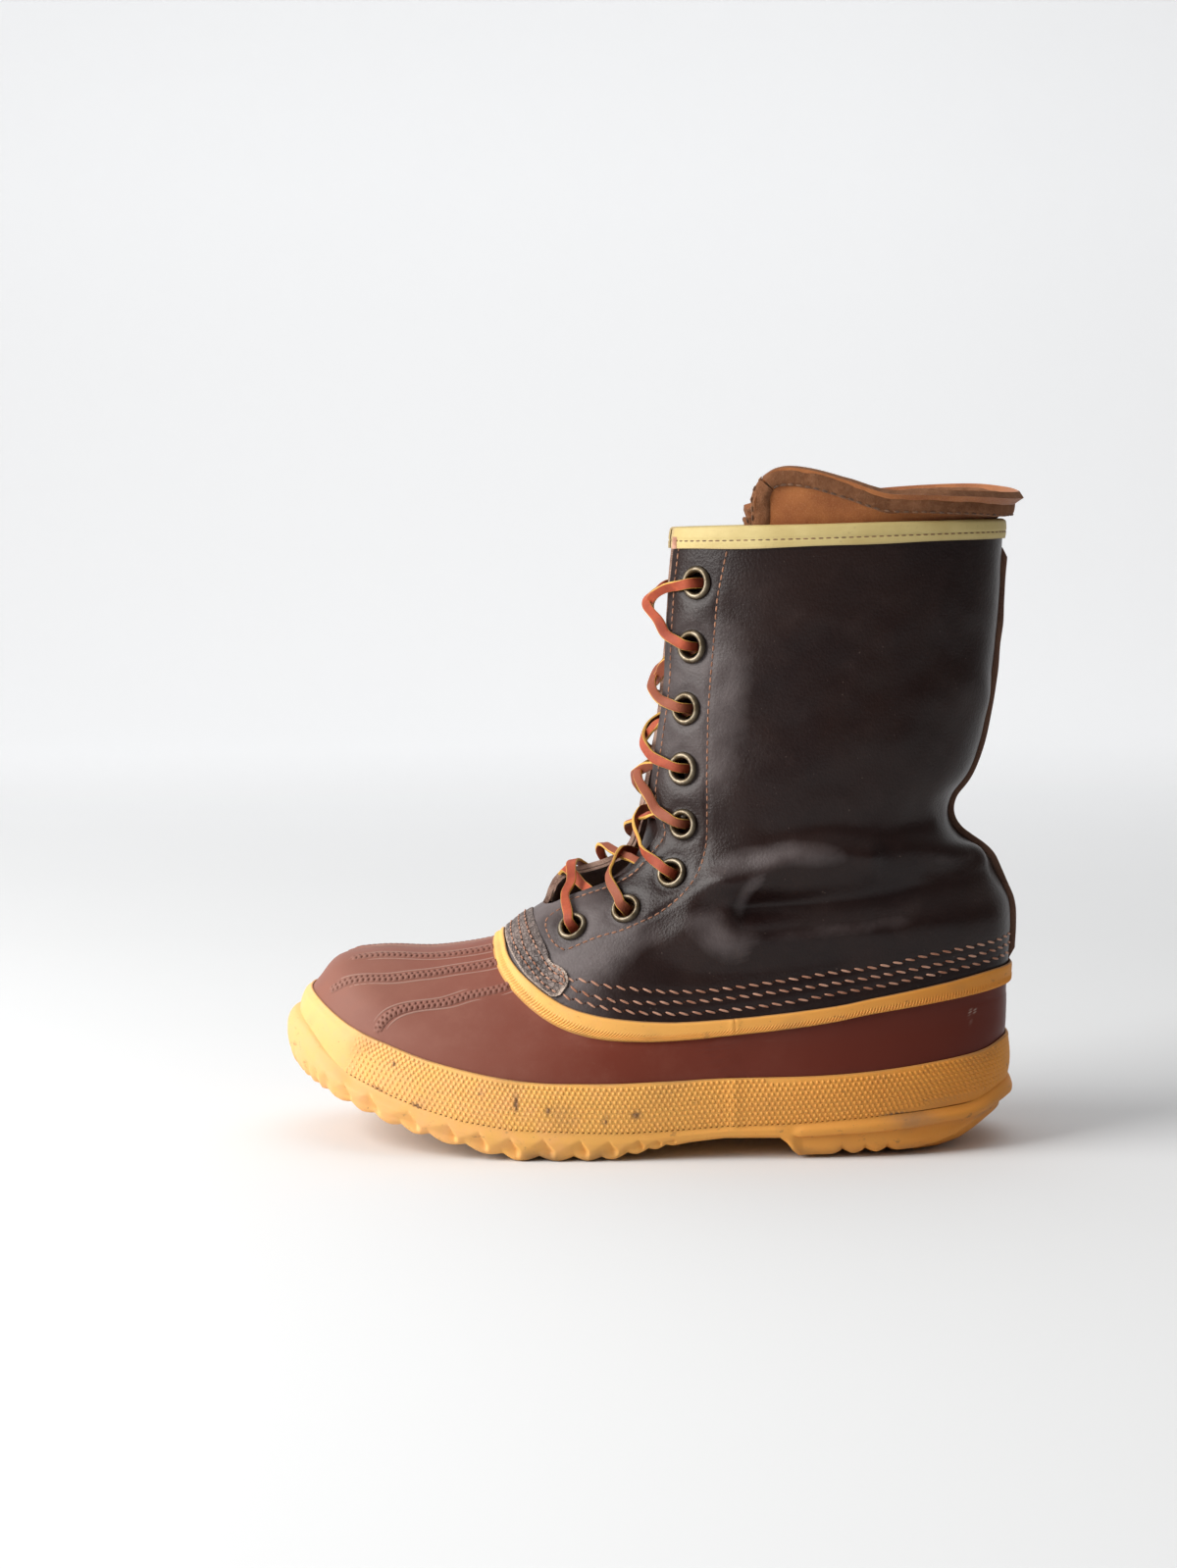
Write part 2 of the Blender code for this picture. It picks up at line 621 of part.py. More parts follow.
def collar_binding():
    """Leather folded over the collar's edge, from one side of the throat to the other."""
    top = float(LEVEL["collar"])
    outside = collar_level(BINDING_DEPTH)
    inside = collar_level(BINDING_INNER_DEPTH)
    near_out = GAP
    far_out = GAP + BINDING_WALL
    near_in = -LEATHER_WALL - GAP
    far_in = near_in - BINDING_WALL
    corners = (
        (outside, far_out, 0.0), (outside, near_out, 0.0), (top, near_out, GAP),
        (top, near_in, GAP), (inside, near_in, 0.0), (inside, far_in, 0.0),
        (top, far_in, GAP + BINDING_WALL), (top, far_out, GAP + BINDING_WALL),
    )
    lines = []
    for v, proud, lift in corners:
        line = skin(open_columns(v), v, proud)
        line[:, 2] += lift
        lines.append(line)
    sections = [[line[j] for line in lines] for j in range(len(RING_TURNS))]
    mesh = finish_mesh("collar_binding", sweep(sections))
    return new_object("collar_binding", "cream_leather", mesh)


def back_seam():
    """The raw seam that stands out along the middle of the back."""
    top = collar_level(BINDING_DEPTH) - SEAM_TOP_ROOM
    lowest = SEAM_LOWEST + SEAM_LEAST_STEP
    highest = top - SEAM_LEAST_STEP
    levels = [SEAM_LOWEST, *[v for v in SHAFT_LEVELS if lowest < v < highest], top]
    sections = []
    for v in levels:
        near = Vector(skin(0.0, v, GAP))
        far = Vector(skin(0.0, v, GAP + SEAM_HEIGHT))
        side = Vector((0, SEAM_WIDTH / 2, 0))
        sections.append([near - side, near + side, far + side, far - side])
    mesh = finish_mesh("back_seam", sweep(sections))
    return new_object("back_seam", "raw_leather", mesh)


def vamp_patch():
    """A crescent over the front of the quarters, with a rounded tab at each side."""
    start, low, high = PATCH_CRESCENT
    outline = [*PATCH_TAB, *[(turn, low, high) for turn in RING_TURNS if turn > start]]
    outline += [(2 - turn, low, high) for turn, low, high in reversed(outline[:-1])]
    turns = wrapped([turn for turn, _, _ in outline])
    low = np.array([row[1] for row in outline])
    high = np.array([row[2] for row in outline])
    grids = []
    for proud in (GAP + PATCH_WALL, GAP):
        grids.append([skin(turns, low + (high - low) * row, proud) for row in PATCH_ROWS])
    return wall("vamp_patch", "grey_leather", *grids, [False] * len(PATCH_ROWS))


def tongue():
    """A leather tongue behind the throat, just inside the shaft."""
    share = np.linspace(-1, 1, TONGUE_ACROSS + 1)
    grids = []
    for inset in (TONGUE_INSET, TONGUE_INSET + TONGUE_WALL):
        rows = []
        for v, half_width in TONGUE_ROWS:
            edge = float(phi_at_half_width(half_width, v))
            turns = 1 + share * (1 - edge / pi)
            rows.append(skin(wrapped(turns), v, -inset))
        grids.append(rows)
    return wall("tongue", "oiled_leather", *grids, [False] * len(TONGUE_ROWS))


# ---------------------------------------------------------------- the liner

def liner_phi(v):
    """The angle of the liner's front edge at level v, pi where the liner is closed."""
    if v <= LINER_GAP[0, 0]:
        return pi
    return float(phi_at_half_width(np.interp(v, LINER_GAP[:, 0], LINER_GAP[:, 1]), v))


def liner():
    """The felt boot inside the shaft, up to just below the collar."""
    columns = np.linspace(-1, 1, 2 * LINER_STEPS + 1)
    grids = []
    for inset in (LINER_INSET, LINER_INSET + LINER_WALL):
        rows = [skin(columns * liner_phi(v), v, -inset) for v in LINER_LEVELS]
        rows[0][:, 2] = sole_top(rows[0][:, 0]) + GAP + INSOLE_THICKNESS + LINER_LIFT
        grids.append(rows)
    joined = [v <= LINER_GAP[0, 0] for v in LINER_LEVELS]
    return wall("liner", "felt", *grids, joined)


def liner_cuff():
    """The top of the felt boot, which stands out of the collar and flares."""
    columns = np.linspace(-1, 1, 2 * LINER_STEPS + 1)
    top = float(LEVEL["collar"])
    z_low = RINGS["collar"][RING_COLUMNS.index("z_side")] + CUFF_START
    phi = columns * liner_phi(top)
    z_top = np.interp(phi / pi, CUFF[:, 0], CUFF[:, 1])
    flare = np.interp(phi / pi, CUFF[:, 0], CUFF[:, 2])
    grids = []
    for inset in (LINER_INSET, LINER_INSET + LINER_WALL):
        rows = [skin(columns * liner_phi(CUFF_FOOT_LEVEL), CUFF_FOOT_LEVEL, -inset)]
        for share in CUFF_SHARES:
            row = skin(phi, top, -inset + (LINER_INSET + flare) * share)
            row[:, 2] = z_low + (z_top - z_low) * share
            rows.append(row)
        grids.append(rows)
    return wall("liner_cuff", "felt", *grids, [False] * (len(CUFF_SHARES) + 1))


# ---------------------------------------------------------------- eyelets and lace

def surface_frame(phi, v):
    """A matrix at the surface whose Z axis is the surface's normal."""
    at = Vector(skin(phi, v))
    normal = (Vector(skin(phi, v, EYELET_OUTER)) - at).normalized()
    return Matrix.Translation(at) @ normal.to_track_quat("Z", "Y").to_matrix().to_4x4()


def eyelet_mesh():
    """A turned ring with a rounded top, its axis on Z."""
    profile = (
        (EYELET_HOLE, 0.0),
        (EYELET_OUTER, 0.0),
        (EYELET_CROWN_OUTER, EYELET_HEIGHT),
        (EYELET_CROWN_INNER, EYELET_HEIGHT),
    )
    bm = bmesh.new()
    rows = []
    for i in range(EYELET_SIDES):
        turn = 2 * pi * i / EYELET_SIDES
        rows.append([bm.verts.new((r * cos(turn), r * sin(turn), z)) for r, z in profile])
    for i in range(EYELET_SIDES):
        a, b = rows[i - 1], rows[i]
        for j in range(len(profile)):
            k = (j + 1) % len(profile)
            bm.faces.new([a[j], a[k], b[k], b[j]])
    mesh = finish_mesh("eyelet", bm)
    mesh.materials.append(material("brass"))
    return mesh


def eyelet_spots():
    """Angle and level of each pair of eyelets, from the top down."""
    spots = []
    for x, z in EYELET_PLACES:
        v = level_at(x, z)
        spots.append((phi_at_x(x, v), v))
    return spots


def eyelets():
    """The eyelets of both sides, numbered from the top down."""
    mesh = eyelet_mesh()
    for number, (phi, v) in enumerate(eyelet_spots(), start=1):
        for side, name in ((1, "outer"), (-1, "inner")):
            made = bpy.data.objects.new(f"eyelet_{name}_{number}", mesh)
            bpy.context.scene.collection.objects.link(made)
            lift = Matrix.Translation((0, 0, EYELET_LIFT))
            made.matrix_world = surface_frame(side * phi, v) @ lift


def smooth_path(points, steps):
    """Points on a smooth curve through the given ones."""
    points = [Vector(p) for p in points]
    padded = [2 * points[0] - points[1], *points, 2 * points[-1] - points[-2]]
    path = []
    spans = len(points) - 1
    for i in range(steps + 1):
        place = min(i * spans / steps, spans - 1e-9)
        span = int(place)
        t = place - span
        a, b, c, d = padded[span:span + 4]
        path.append(
            b + (c - a) * (t / 2)
            + (2 * a - 5 * b + 4 * c - d) * (t**2 / 2)
            + (3 * b - a - 3 * c + d) * (t**3 / 2)
        )
    return path


def strap(name, path, facings):
    """A flat strip of lace along the path, its broad side turned to the facings."""
    sections = []
    for i, (at, facing) in enumerate(zip(path, facings)):
        before = path[max(i - 1, 0)]
        after = path[min(i + 1, len(path) - 1)]
        along = (after - before).normalized()
        across = along.cross(facing).normalized() * (LACE_WIDTH / 2)
        thick = across.cross(along).normalized() * (LACE_THICKNESS / 2)
        sections.append([at - across - thick, at + across - thick,
                         at + across + thick, at - across + thick])
    return new_object(name, "lace_hide", finish_mesh(name, sweep(sections)))


def lace_strand(name, start, end, bulge):
    """A strip from one side's eyelet to the other's, over the front of the throat.

    start and end are (angle, level) of the eyelets. It begins and ends short of them."""
    points = []
    middle_v = (start[1] + end[1]) / 2
    for share in LACE_SHARES:
        phi = start[0] + (pi - abs(start[0])) * share * (1 if start[0] > 0 else -1)
        v = start[1] + (middle_v - start[1]) * share
        points.append(skin(phi, v, LACE_CLEARANCE))
    points.append(skin(pi, middle_v, bulge))
    for share in reversed(LACE_SHARES):
        phi = end[0] + (pi - abs(end[0])) * share * (1 if end[0] > 0 else -1)
        v = end[1] + (middle_v - end[1]) * share
        points.append(skin(phi, v, LACE_CLEARANCE))
    path = smooth_path(points, LACE_STEPS)
    inside = Vector(skin(pi, middle_v, -LACE_CORE_INSET))
    facings = [(at - inside).normalized() for at in path]
    return strap(name, path, facings)


def laces():
    """Crossed strips between each two pairs of eyelets, and a bar over the lowest pair."""
    spots = eyelet_spots()
    for number in range(1, len(spots)):
        (phi_high, v_high), (phi_low, v_low) = spots[number - 1], spots[number]
        name = f"lace_crossing_{number}"
        front = lace_strand(name, (phi_low, v_low), (-phi_high, v_high), LACE_BULGE)
        back = lace_strand(f"{name}_under", (-phi_low, v_low), (phi_high, v_high),
                           LACE_BULGE - LACE_UNDER)
        back.hide_render = True
        back.display_type = "WIRE"
        back.data.materials.clear()
        join = front.modifiers.new("join", "BOOLEAN")
        join.operation = "UNION"
        join.object = back
    phi, v = spots[-1]
    low = v - LACE_BAR_DROP
    lace_strand("lace_bar", (phi, low), (-phi, low), LACE_CLEARANCE)


# ---------------------------------------------------------------- build

def clear_scene():
    """Takes out every object of the startup scene."""
    for old in list(bpy.data.objects):
        bpy.data.objects.remove(old, do_unlink=True)


def main():
    """Builds the boot, piece by piece."""
    clear_scene()
    outsole()
    insole()
    foxing_and_bumper()
    rubber_shell()
    top_strip()
    leather_shaft()
    vamp_patch()
    back_seam()
    collar_binding()
    tongue()
    liner()
    liner_cuff()
    eyelets()
    laces()


main()
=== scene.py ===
"""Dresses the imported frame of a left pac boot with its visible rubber, leather, felt and lace.

Metres, +Z up, toe towards +X, outer side +Y. Every piece is laid on one surface, at a turn
(0 at the back, 1 at the front, negative on the inner side) and a level (0 at the sole's
edge, 15 at the collar), which are the rows of RINGS.
"""

from math import pi, radians

import bpy
import numpy as np
from bpy.props import FloatProperty, FloatVectorProperty, PointerProperty
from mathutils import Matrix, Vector


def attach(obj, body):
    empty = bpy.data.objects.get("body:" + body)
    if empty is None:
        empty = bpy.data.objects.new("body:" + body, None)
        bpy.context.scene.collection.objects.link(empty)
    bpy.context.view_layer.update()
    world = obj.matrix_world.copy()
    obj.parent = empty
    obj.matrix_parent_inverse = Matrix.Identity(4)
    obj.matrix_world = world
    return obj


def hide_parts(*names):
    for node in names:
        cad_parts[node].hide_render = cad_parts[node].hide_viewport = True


bl_info = {
    "name": "Pac Boot Dresser",
    "version": (1, 0, 0),
    "blender": (4, 5, 0),
    "location": "3D View > Sidebar > Pac Boot",
    "description": "Builds the visible pieces of a left pac boot on its packed frame",
    "category": "Object",
}

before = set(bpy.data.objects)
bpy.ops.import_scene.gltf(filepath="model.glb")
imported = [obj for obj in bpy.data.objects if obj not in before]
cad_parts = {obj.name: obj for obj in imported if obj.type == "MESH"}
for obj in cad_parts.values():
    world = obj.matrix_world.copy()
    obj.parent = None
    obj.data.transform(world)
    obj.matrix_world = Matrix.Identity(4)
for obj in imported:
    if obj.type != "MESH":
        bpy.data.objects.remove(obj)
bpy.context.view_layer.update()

MM = 0.001
SEAM = 0.02 * MM
GAP = 0.35 * MM
RUBBER_WALL = 2.5 * MM
LEATHER_WALL = 2.2 * MM
TONGUE_INSET = 3.7 * MM
TONGUE_WALL = 1.8 * MM
LINER_INSET = 4.4 * MM
LINER_WALL = 3.8 * MM
LINER_LIFT = 1.2 * MM
INSOLE_THICKNESS = 4.0 * MM
PATCH_WALL = 1.3 * MM
FACING_WALL = 1.25 * MM
STRIP_WALL = 1.35 * MM
RIDGE_HALF = 2.3 * MM
RIDGE_LINE_HALF = 0.55 * MM
KNURL_PITCH = 2.35 * MM
SEAM_HALF_WIDE = 1.95 * MM
SEAM_TALL = 2.9 * MM
CUFF_WALL = LINER_WALL * 0.85
HEM_HALF_HIGH = 3.9 * MM
HEM_HALF_WIDE = CUFF_WALL / 2 + 1.15 * MM
BINDING_WALL = 0.8 * MM
BINDING_WIDE = 10.0 * MM
BINDING_SEAM = 5.4 * MM

# ---------------------------------------------------------------- the boot's surface

RING_COLUMNS = (
    "x_back", "x_wide", "x_front", "half", "square_back", "square_front",
    "z_back", "z_side", "z_front", "rise_back", "rise_front",
)
RINGS = np.array((
    (-0.1470, 0.036, 0.1446, 0.0528, 2.70, 2.45, 0.0225, 0.0120, 0.0525, 3.0, 3.0),
    (-0.1488, 0.037, 0.1428, 0.0536, 2.70, 2.45, 0.0320, 0.0220, 0.0588, 3.2, 2.9),
    (-0.1487, 0.038, 0.1388, 0.0532, 2.70, 2.45, 0.0412, 0.0318, 0.0645, 3.5, 2.7),
    (-0.1493, 0.034, 0.1302, 0.0516, 2.65, 2.45, 0.0492, 0.0385, 0.0738, 2.8, 2.4),
    (-0.1495, 0.027, 0.1125, 0.0500, 2.60, 2.50, 0.0552, 0.0430, 0.0774, 2.2, 2.1),
    (-0.1495, 0.015, 0.0885, 0.0486, 2.55, 2.70, 0.0598, 0.0456, 0.0776, 1.7, 2.1),
    (-0.1494, 0.000, 0.0647, 0.0472, 2.50, 2.85, 0.0631, 0.0474, 0.0820, 1.3, 2.0),
    (-0.1500, -0.010, 0.0585, 0.0456, 2.45, 2.85, 0.0723, 0.0553, 0.0868, 1.3, 2.0),
    (-0.1508, -0.022, 0.0450, 0.0438, 2.40, 2.55, 0.0880, 0.0725, 0.0970, 1.3, 1.9),
    (-0.1500, -0.036, 0.0275, 0.0428, 2.35, 2.30, 0.1030, 0.0895, 0.1062, 1.4, 1.8),
    (-0.1452, -0.048, 0.0125, 0.0422, 2.30, 2.15, 0.1170, 0.1050, 0.1165, 1.5, 1.8),
    (-0.1290, -0.059, 0.0060, 0.0416, 2.25, 2.00, 0.1280, 0.1210, 0.1295, 1.6, 1.8),
    (-0.1272, -0.065, 0.0032, 0.0413, 2.20, 2.00, 0.1420, 0.1400, 0.1475, 2.0, 2.0),
    (-0.1362, -0.069, 0.0010, 0.0410, 2.20, 2.00, 0.1610, 0.1620, 0.1670, 2.0, 2.0),
    (-0.1425, -0.073, -0.0028, 0.0405, 2.20, 2.00, 0.2020, 0.2020, 0.2045, 2.0, 2.0),
    (-0.1455, -0.076, -0.0065, 0.0400, 2.20, 2.00, 0.2535, 0.2535, 0.2535, 2.0, 2.0),
))
TOP = len(RINGS) - 1.0
SIDES = ((1, "outer"), (-1, "inner"))
STRIP_SEAM = 6.5
THROAT_BOTTOM = 8.05
WAIST_X = -0.030
WAIST_REACH = 0.045
WAIST_PINCH_OUTER = 0.09
WAIST_PINCH_INNER = 0.19
TOE_SWING = 0.011
COLLAR_TILT = 0.025
COLLAR_LEVEL_X = -0.066
SOLE_FRONT_X = 0.1523
SOLE_BACK_X = -0.1534
SOLE_WIDE_X = 0.036
SOLE_HALF = 0.0562
SOLE_SQUARE_BACK = 2.75
SOLE_SQUARE_FRONT = 2.5
SOLE_PROFILE = np.array((  # x, bottom, top
    (-0.1534, 0.0165, 0.0235),
    (-0.1500, 0.0150, 0.0224),
    (-0.1450, 0.0128, 0.0211),
    (-0.1400, 0.0102, 0.0202),
    (-0.1340, 0.0068, 0.0195),
    (-0.1270, 0.0033, 0.0188),
    (-0.1180, 0.0010, 0.0181),
    (-0.1080, 0.0000, 0.0173),
    (-0.0600, 0.0000, 0.0138),
    (-0.0576, 0.0022, 0.0136),
    (-0.0552, 0.0056, 0.0135),
    (-0.0522, 0.0083, 0.0134),
    (-0.0300, 0.0083, 0.0126),
    (-0.0166, 0.0069, 0.0117),
    (-0.0080, 0.0054, 0.0112),
    (0.0090, 0.0018, 0.0105),
    (0.0180, 0.0000, 0.0105),
    (0.0560, 0.0000, 0.0118),
    (0.0760, 0.0045, 0.0148),
    (0.0930, 0.0085, 0.0192),
    (0.1050, 0.0120, 0.0232),
    (0.1230, 0.0185, 0.0302),
    (0.1335, 0.0227, 0.0358),
    (0.1430, 0.0278, 0.0430),
    (0.1490, 0.0322, 0.0490),
    (0.1523, 0.0385, 0.0520),
))
HEEL_EDGE = np.array((  # x, how much the bottom's rim stands above its middle
    (-0.1534, 0.0), (-0.1500, 0.0020), (-0.1400, 0.0038), (-0.1315, 0.0042), (-0.1200, 0.0038),
    (-0.1090, 0.0028),
    (-0.0950, 0.0020), (-0.0800, 0.0015), (-0.0620, 0.0011), (-0.0560, 0.0005), (-0.0520, 0.0),
))


def ring_at(v):
    """The ring's values at level v, on a smooth curve through the rows."""
    v = np.clip(v, 0.0, TOP)
    low = np.clip(np.floor(v).astype(int), 0, len(RINGS) - 2)
    part = (v - low)[..., None]
    before, start = RINGS[np.maximum(low - 1, 0)], RINGS[low]
    end, after = RINGS[low + 1], RINGS[np.minimum(low + 2, len(RINGS) - 1)]
    cube, square = part**3, part**2
    values = (
        (2 * cube - 3 * square + 1) * start
        + (cube - 2 * square + part) * (end - before) / 2
        + (3 * square - 2 * cube) * end
        + (cube - square) * (after - start) / 2
    )
    return {name: values[..., i] for i, name in enumerate(RING_COLUMNS)}


def foot_shift(x, y, low):
    """y with the pinched waist and the swung toe, at full strength where low is 1."""
    pinch = np.where(y >= 0, WAIST_PINCH_OUTER, WAIST_PINCH_INNER)
    waist = 1 - low * pinch * hump(x - WAIST_X, WAIST_REACH)
    return y * waist - TOE_SWING * share_of(x / SOLE_FRONT_X) ** 1.7


def skin_point(turn, v):
    """Points of the boot's outer surface."""
    turn, v = np.broadcast_arrays(np.asarray(turn, float), np.asarray(v, float))
    turn = np.where(turn > 1, turn - 2, np.where(turn < -1, turn + 2, turn))
    ring = ring_at(v)
    angle = np.abs(turn) * pi
    front = angle > pi / 2
    square = np.where(front, ring["square_front"], ring["square_back"])
    along = np.abs(np.cos(angle)) ** (2 / square)
    across = np.abs(np.sin(angle)) ** (2 / square)
    x_end = np.where(front, ring["x_front"], ring["x_back"])
    x = ring["x_wide"] + (x_end - ring["x_wide"]) * along
    y = np.sign(turn) * ring["half"] * across
    climb = np.where(front, 1 - across ** ring["rise_front"], along ** ring["rise_back"])
    z_end = np.where(front, ring["z_front"], ring["z_back"])
    z = ring["z_side"] + (z_end - ring["z_side"]) * climb
    z = z + COLLAR_TILT * (COLLAR_LEVEL_X - x) * ease(v, 12.5, TOP)
    low = share_of(1 - (v - 2) / 6)
    return np.stack([x, foot_shift(x, y, low), z], axis=-1)


def share_of(value):
    """The value, held between 0 and 1."""
    return np.clip(value, 0, 1)


def hump(distance, reach, spread=1):
    """1 at no distance, falling away smoothly over the reach."""
    return np.exp(-((distance / reach) ** 2) / spread)


def blunt(wave, power):
    """A wave between -1 and 1 made squarer, where power is under 1."""
    return np.sign(wave) * np.abs(wave) ** power


def unit(vectors):
    return vectors / np.maximum(np.linalg.norm(vectors, axis=-1, keepdims=True), 1e-12)


def skin_normal(turn, v, step=0.0013):
    turn, v = np.broadcast_arrays(np.asarray(turn, float), np.asarray(v, float))
    round_way = skin_point(turn + step, v) - skin_point(turn - step, v)
    up_way = skin_point(turn, np.minimum(v + 0.004, TOP)) - skin_point(turn, np.maximum(v - 0.004, 0))
    return unit(np.cross(up_way, round_way))


def skin(turn, v, out=0.0):
    """Points that stand "out" proud of the boot's surface."""
    return skin_point(turn, v) + skin_normal(turn, v) * np.asarray(out)[..., None]


def turn_at_half_width(y, v):
    """The turn, near the front, at which the ring at level v is y from the middle."""
    ring = ring_at(np.asarray(v, float))
    share = share_of(np.asarray(y) / ring["half"]) ** (ring["square_front"] / 2)
    return 1 - np.arcsin(share) / pi


def sole_top(x):
    return np.interp(x, SOLE_PROFILE[:, 0], SOLE_PROFILE[:, 2])


def sole_bottom(x):
    return np.interp(x, SOLE_PROFILE[:, 0], SOLE_PROFILE[:, 1])


HALVINGS = 40


def solve_place(x, z):
    """The turn and level at which the outer side passes through x and z."""
    low, high = 2.0, TOP
    for _ in range(HALVINGS):
        v = (low + high) / 2
        ring = {name: float(value) for name, value in ring_at(np.array(v)).items()}
        front = x > ring["x_wide"]
        end = "front" if front else "back"
        x_end, square = ring["x_" + end], ring["square_" + end]
        along = min(max((x - ring["x_wide"]) / (x_end - ring["x_wide"]), 0.0), 1.0)
        swing = float(np.arcsin(along ** (square / 2))) / pi
        turn = 0.5 + swing if front else 0.5 - swing
        if skin_point(turn, v)[2] < z:
            low = v
        else:
            high = v
    return turn, v


# ---------------------------------------------------------------- curves and waves

def smooth_curve(rows, count):
    """count points on a smooth curve through the rows, of any number of columns."""
    rows = np.asarray(rows, float)
    place = np.linspace(0, len(rows) - 1, count)
    low = np.clip(place.astype(int), 0, len(rows) - 2)
    t = (place - low)[:, None]
    padded = np.vstack([2 * rows[0] - rows[1], rows, 2 * rows[-1] - rows[-2]])
    a, b, c, d = (padded[low + i] for i in range(4))
    return b + (c - a) * t / 2 + (2 * a - 5 * b + 4 * c - d) * t**2 / 2 + (3 * b - a - 3 * c + d) * t**3 / 2


def lengths_along(points):
    steps = np.linalg.norm(np.diff(points, axis=0), axis=-1)
    return np.concatenate([[0.0], np.cumsum(steps)])


def even_row(rows, pitch, start=0.0):
    """(turn, level) rows spaced by pitch along the surface, on a smooth curve through rows."""
    fine = smooth_curve(rows, 60 * len(rows))
    run = lengths_along(skin_point(fine[:, 0], fine[:, 1]))
    at = np.arange(start, run[-1], pitch)
    return np.stack([np.interp(at, run, fine[:, i]) for i in range(fine.shape[1])], axis=-1)


def near(points, line, chunk=3000):
    """Each point's distance to a line of points, and how far along the line it is, 0 to 1."""
    flat = points.reshape(-1, 3)
    distance = np.empty(len(flat))
    share = np.empty(len(flat))
    for i in range(0, len(flat), chunk):
        gaps = np.linalg.norm(flat[i:i + chunk, None] - line[None], axis=-1)
        best = gaps.argmin(axis=1)
        distance[i:i + chunk] = gaps[np.arange(len(best)), best]
        share[i:i + chunk] = best / (len(line) - 1)
    return distance.reshape(points.shape[:-1]), share.reshape(points.shape[:-1])


def ease(value, low, high):
    """0 at low, 1 at high, and a smooth slope between them."""
    t = share_of((value - low) / (high - low))
    return t * t * (3 - 2 * t)


def wobble(points, size, seed=0.0):
    """A smooth wandering value from about -1 to 1, which changes over lengths of size."""
    x, y, z = (points[..., i] / size for i in range(3))
    total = (
        np.sin(1.9 * x + 1.3 * z + 2.1 * np.sin(0.7 * y + seed) + seed)
        + np.sin(2.3 * z - 1.1 * y + 1.7 * np.sin(0.9 * x + 2 * seed) + 1.3)
        + np.sin(1.7 * y - 1.4 * x + 1.9 * np.sin(0.8 * z + 3 * seed) + 4.1)
    )
    return total / 3


# ---------------------------------------------------------------- mesh helpers

def deselect():
    if bpy.context.object is not None and bpy.context.object.mode != "OBJECT":
        bpy.ops.object.mode_set(mode="OBJECT")
    bpy.ops.object.select_all(action="DESELECT")


def select_only(obj):
    deselect()
    obj.select_set(True)
    bpy.context.view_layer.objects.active = obj


def points_of(obj):
    flat = np.empty(len(obj.data.vertices) * 3)
    obj.data.vertices.foreach_get("co", flat)
    return flat.reshape(-1, 3)


def lay(name, table, finishes, **painted):
    """A grid primitive whose points are moved to table, rows by columns by xyz.

    Its UV map is in metres along the columns and rows, and each painted table is stored
    as a number for each point."""
    rows, columns = table.shape[:2]
    deselect()
    bpy.ops.mesh.primitive_grid_add(x_subdivisions=columns - 1, y_subdivisions=rows - 1, size=1.0)
    obj = bpy.context.object
    obj.name = name
    obj.data.name = name
    flat = points_of(obj)
    i = np.rint((flat[:, 0] + 0.5) * (columns - 1)).astype(int)
    j = np.rint((flat[:, 1] + 0.5) * (rows - 1)).astype(int)
    obj.data.vertices.foreach_set("co", table[j, i].astype(np.float32).ravel())
    across = np.zeros((rows, columns))
    up = np.zeros((rows, columns))
    across[:, 1:] = np.cumsum(np.linalg.norm(np.diff(table, axis=1), axis=-1), axis=1)
    up[1:] = np.cumsum(np.linalg.norm(np.diff(table, axis=0), axis=-1), axis=0)
    uv = np.stack([across - across[:, columns // 2][:, None], up], axis=-1)
    for key, values in painted.items():
        layer = obj.data.attributes.new(key, "FLOAT", "POINT")
        values = np.broadcast_to(np.asarray(values, np.float32), (rows, columns))
        layer.data.foreach_set("value", values[j, i].ravel())
    loops = np.empty(len(obj.data.loops), int)
    obj.data.loops.foreach_get("vertex_index", loops)
    obj.data.uv_layers.active.data.foreach_set("uv", uv[j, i][loops].astype(np.float32).ravel())
    for finish in finishes:
        obj.data.materials.append(finish)
    obj.data.update()
    return obj


def in_edit_mode(obj, **steps):
    """Runs mesh operators on one object in edit mode, in the order given."""
    select_only(obj)
    bpy.ops.object.mode_set(mode="EDIT")
    for name, settings in steps.items():
        getattr(bpy.ops.mesh, name)(**settings)
    bpy.ops.object.mode_set(mode="OBJECT")


def merge_points(obj, distance):
    in_edit_mode(obj, select_all={"action": "SELECT"}, remove_doubles={"threshold": distance})


def face_outwards(obj):
    in_edit_mode(obj, select_all={"action": "SELECT"}, normals_make_consistent={"inside": False})


def delete_faces(obj, doomed):
    in_edit_mode(obj, select_mode={"type": "FACE"}, select_all={"action": "DESELECT"})
    obj.data.polygons.foreach_set("select", doomed)
    in_edit_mode(obj, delete={"type": "FACE"})


def apply_modifier(obj, kind, **settings):
    select_only(obj)
    modifier = obj.modifiers.new(kind.lower(), kind)
    for key, value in settings.items():
        setattr(modifier, key, value)
    bpy.ops.object.modifier_apply(modifier=modifier.name)


def thicken(obj, depth, inner=0, rim=0):
    """Gives a sheet a wall behind it, whose back and rim can take other finishes."""
    apply_modifier(obj, "SOLIDIFY", thickness=depth, offset=-1.0,
                   material_offset=inner, material_offset_rim=rim)


def shade(obj, angle=40):
    select_only(obj)
    bpy.ops.object.shade_smooth_by_angle(angle=radians(angle))


def settle(obj, slot, *nodes):
    """Hands a finished piece to the frame: its body and the nodes it stands for. The slot is not used."""
    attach(obj, "root")
    if nodes:
        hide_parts(*nodes)
    return obj


def complete(obj, slot, *nodes, merged=0, wall=0, inner=0, rim=0, outwards=False, angle=50):
    """Closes a laid piece, gives it its wall, shades it and hands it to the frame."""
    if merged:
        merge_points(obj, merged)
    if wall:
        thicken(obj, wall, inner, rim)
    if outwards:
        face_outwards(obj)
    shade(obj, angle)
    settle(obj, slot, *nodes)


